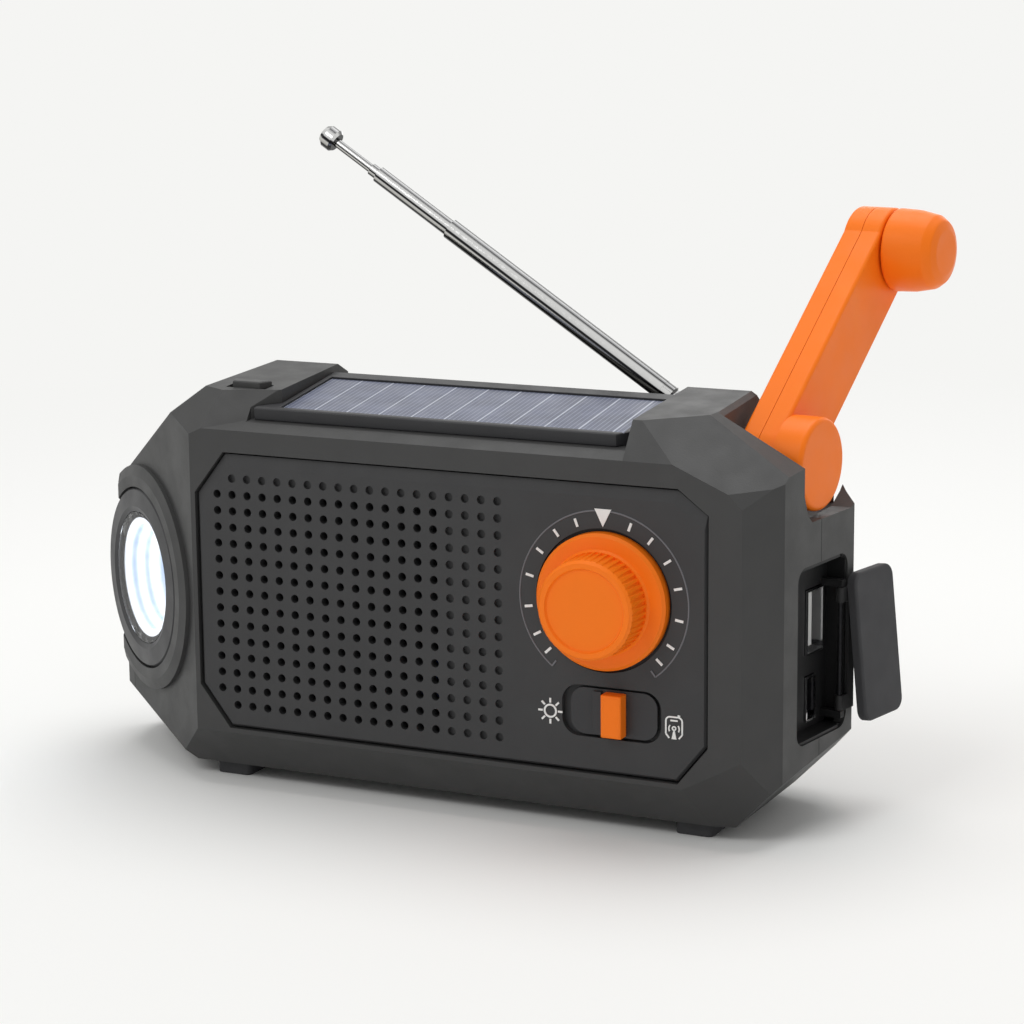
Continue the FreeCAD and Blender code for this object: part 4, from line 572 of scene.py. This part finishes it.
def pale_floor():
    """Pale floor that keeps the object's shadow and fades to the plain background."""
    shader = Shader("pale_floor")
    back_colour = srgb(BACKGROUND)
    shader.surface.inputs["Roughness"].default_value = 0.9
    shader.surface.inputs["Specular IOR Level"].default_value = 0.0
    shader.surface.inputs["Base Color"].default_value = back_colour
    glow_node = shader.add("ShaderNodeEmission")
    glow_node.inputs["Color"].default_value = back_colour
    distance = shader.add("ShaderNodeVectorMath", operation="LENGTH")
    shader.join(shader.place, distance.inputs[0])
    fade = shader.spread(distance.outputs["Value"], 0.0, 1.0, FADE_START, FADE_END)
    mixed = shader.add("ShaderNodeMixShader")
    shader.join(fade, mixed.inputs[0])
    shader.join(shader.surface.outputs[0], mixed.inputs[1])
    shader.join(glow_node.outputs[0], mixed.inputs[2])
    output = shader.tree.nodes["Material Output"]
    shader.join(mixed.outputs[0], output.inputs["Surface"])
    return shader.material


bpy.ops.mesh.primitive_circle_add(vertices=96, radius=FLOOR_RADIUS, fill_type="NGON", location=(0, 0, 0))
floor = bpy.context.object
floor.name = "floor"
floor.data.materials.append(pale_floor())

world = bpy.data.worlds.new("studio")
bpy.context.scene.world = world
world.use_nodes = True
tree = world.node_tree
# Plain light on the object, and the background as seen by eye, in gloss and through glass
plain = tree.nodes["Background"]
plain.inputs["Color"].default_value = (1.0, 1.0, 1.0, 1.0)
plain.inputs["Strength"].default_value = 0.47
seen = tree.nodes.new("ShaderNodeBackground")
seen.inputs["Color"].default_value = srgb(BACKGROUND)
seen.inputs["Strength"].default_value = 1.0
path = tree.nodes.new("ShaderNodeLightPath")
shown = path.outputs["Is Camera Ray"]
for kind in ("Is Glossy Ray", "Is Transmission Ray"):
    more = tree.nodes.new("ShaderNodeMath")
    more.operation = "MAXIMUM"
    tree.links.new(shown, more.inputs[0])
    tree.links.new(path.outputs[kind], more.inputs[1])
    shown = more.outputs[0]
either = tree.nodes.new("ShaderNodeMixShader")
tree.links.new(shown, either.inputs[0])
tree.links.new(plain.outputs[0], either.inputs[1])
tree.links.new(seen.outputs[0], either.inputs[2])
tree.links.new(either.outputs[0], tree.nodes["World Output"].inputs["Surface"])


def soft_light(name, spot, target, size, power):
    """Round lamp of a given width that looks at target; places in metres, power in watts."""
    lamp = bpy.data.lights.new(name, "AREA")
    lamp.shape = "DISK"
    lamp.size = size
    lamp.energy = power
    thing = bpy.data.objects.new(name, lamp)
    bpy.context.scene.collection.objects.link(thing)
    thing.location = spot
    thing.rotation_mode = "QUATERNION"
    thing.rotation_quaternion = (Vector(target) - Vector(spot)).to_track_quat("-Z", "Y")


soft_light("key", (-0.3, -0.8, 0.9), (0, 0, 0.05), 0.6, 3.2)
soft_light("top", (0.0, 0.25, 1.0), (0, 0, 0.05), 0.9, 5.6)
soft_light("back", (-0.1, 1.1, 0.35), (0, 0, 0.1), 0.8, 1.6)


# Camera

AZIMUTH = math.radians(25.476)
ELEVATION = math.radians(11.693)
ROLL = math.radians(-0.535)
TARGET = on_case(10.295, 6.0, 56.766)
DISTANCE = 605.06 * MM
LENS = 103.17
SENSOR = 36.0

back = Vector((math.sin(AZIMUTH) * math.cos(ELEVATION), -math.cos(AZIMUTH) * math.cos(ELEVATION),
               math.sin(ELEVATION)))
level = Vector((0, 0, 1)).cross(back).normalized()
upward = back.cross(level)
right = level * math.cos(ROLL) + upward * math.sin(ROLL)
above = upward * math.cos(ROLL) - level * math.sin(ROLL)
camera = bpy.data.cameras.new("camera")
camera.lens = LENS
camera.sensor_width = SENSOR
camera.clip_start = 0.01
camera_object = bpy.data.objects.new("camera", camera)
bpy.context.scene.collection.objects.link(camera_object)
turn = Matrix((right, above, back)).transposed().to_4x4()
camera_object.matrix_world = Matrix.Translation(TARGET + back * DISTANCE) @ turn
bpy.context.scene.camera = camera_object
bpy.context.scene.view_settings.view_transform = "Standard"
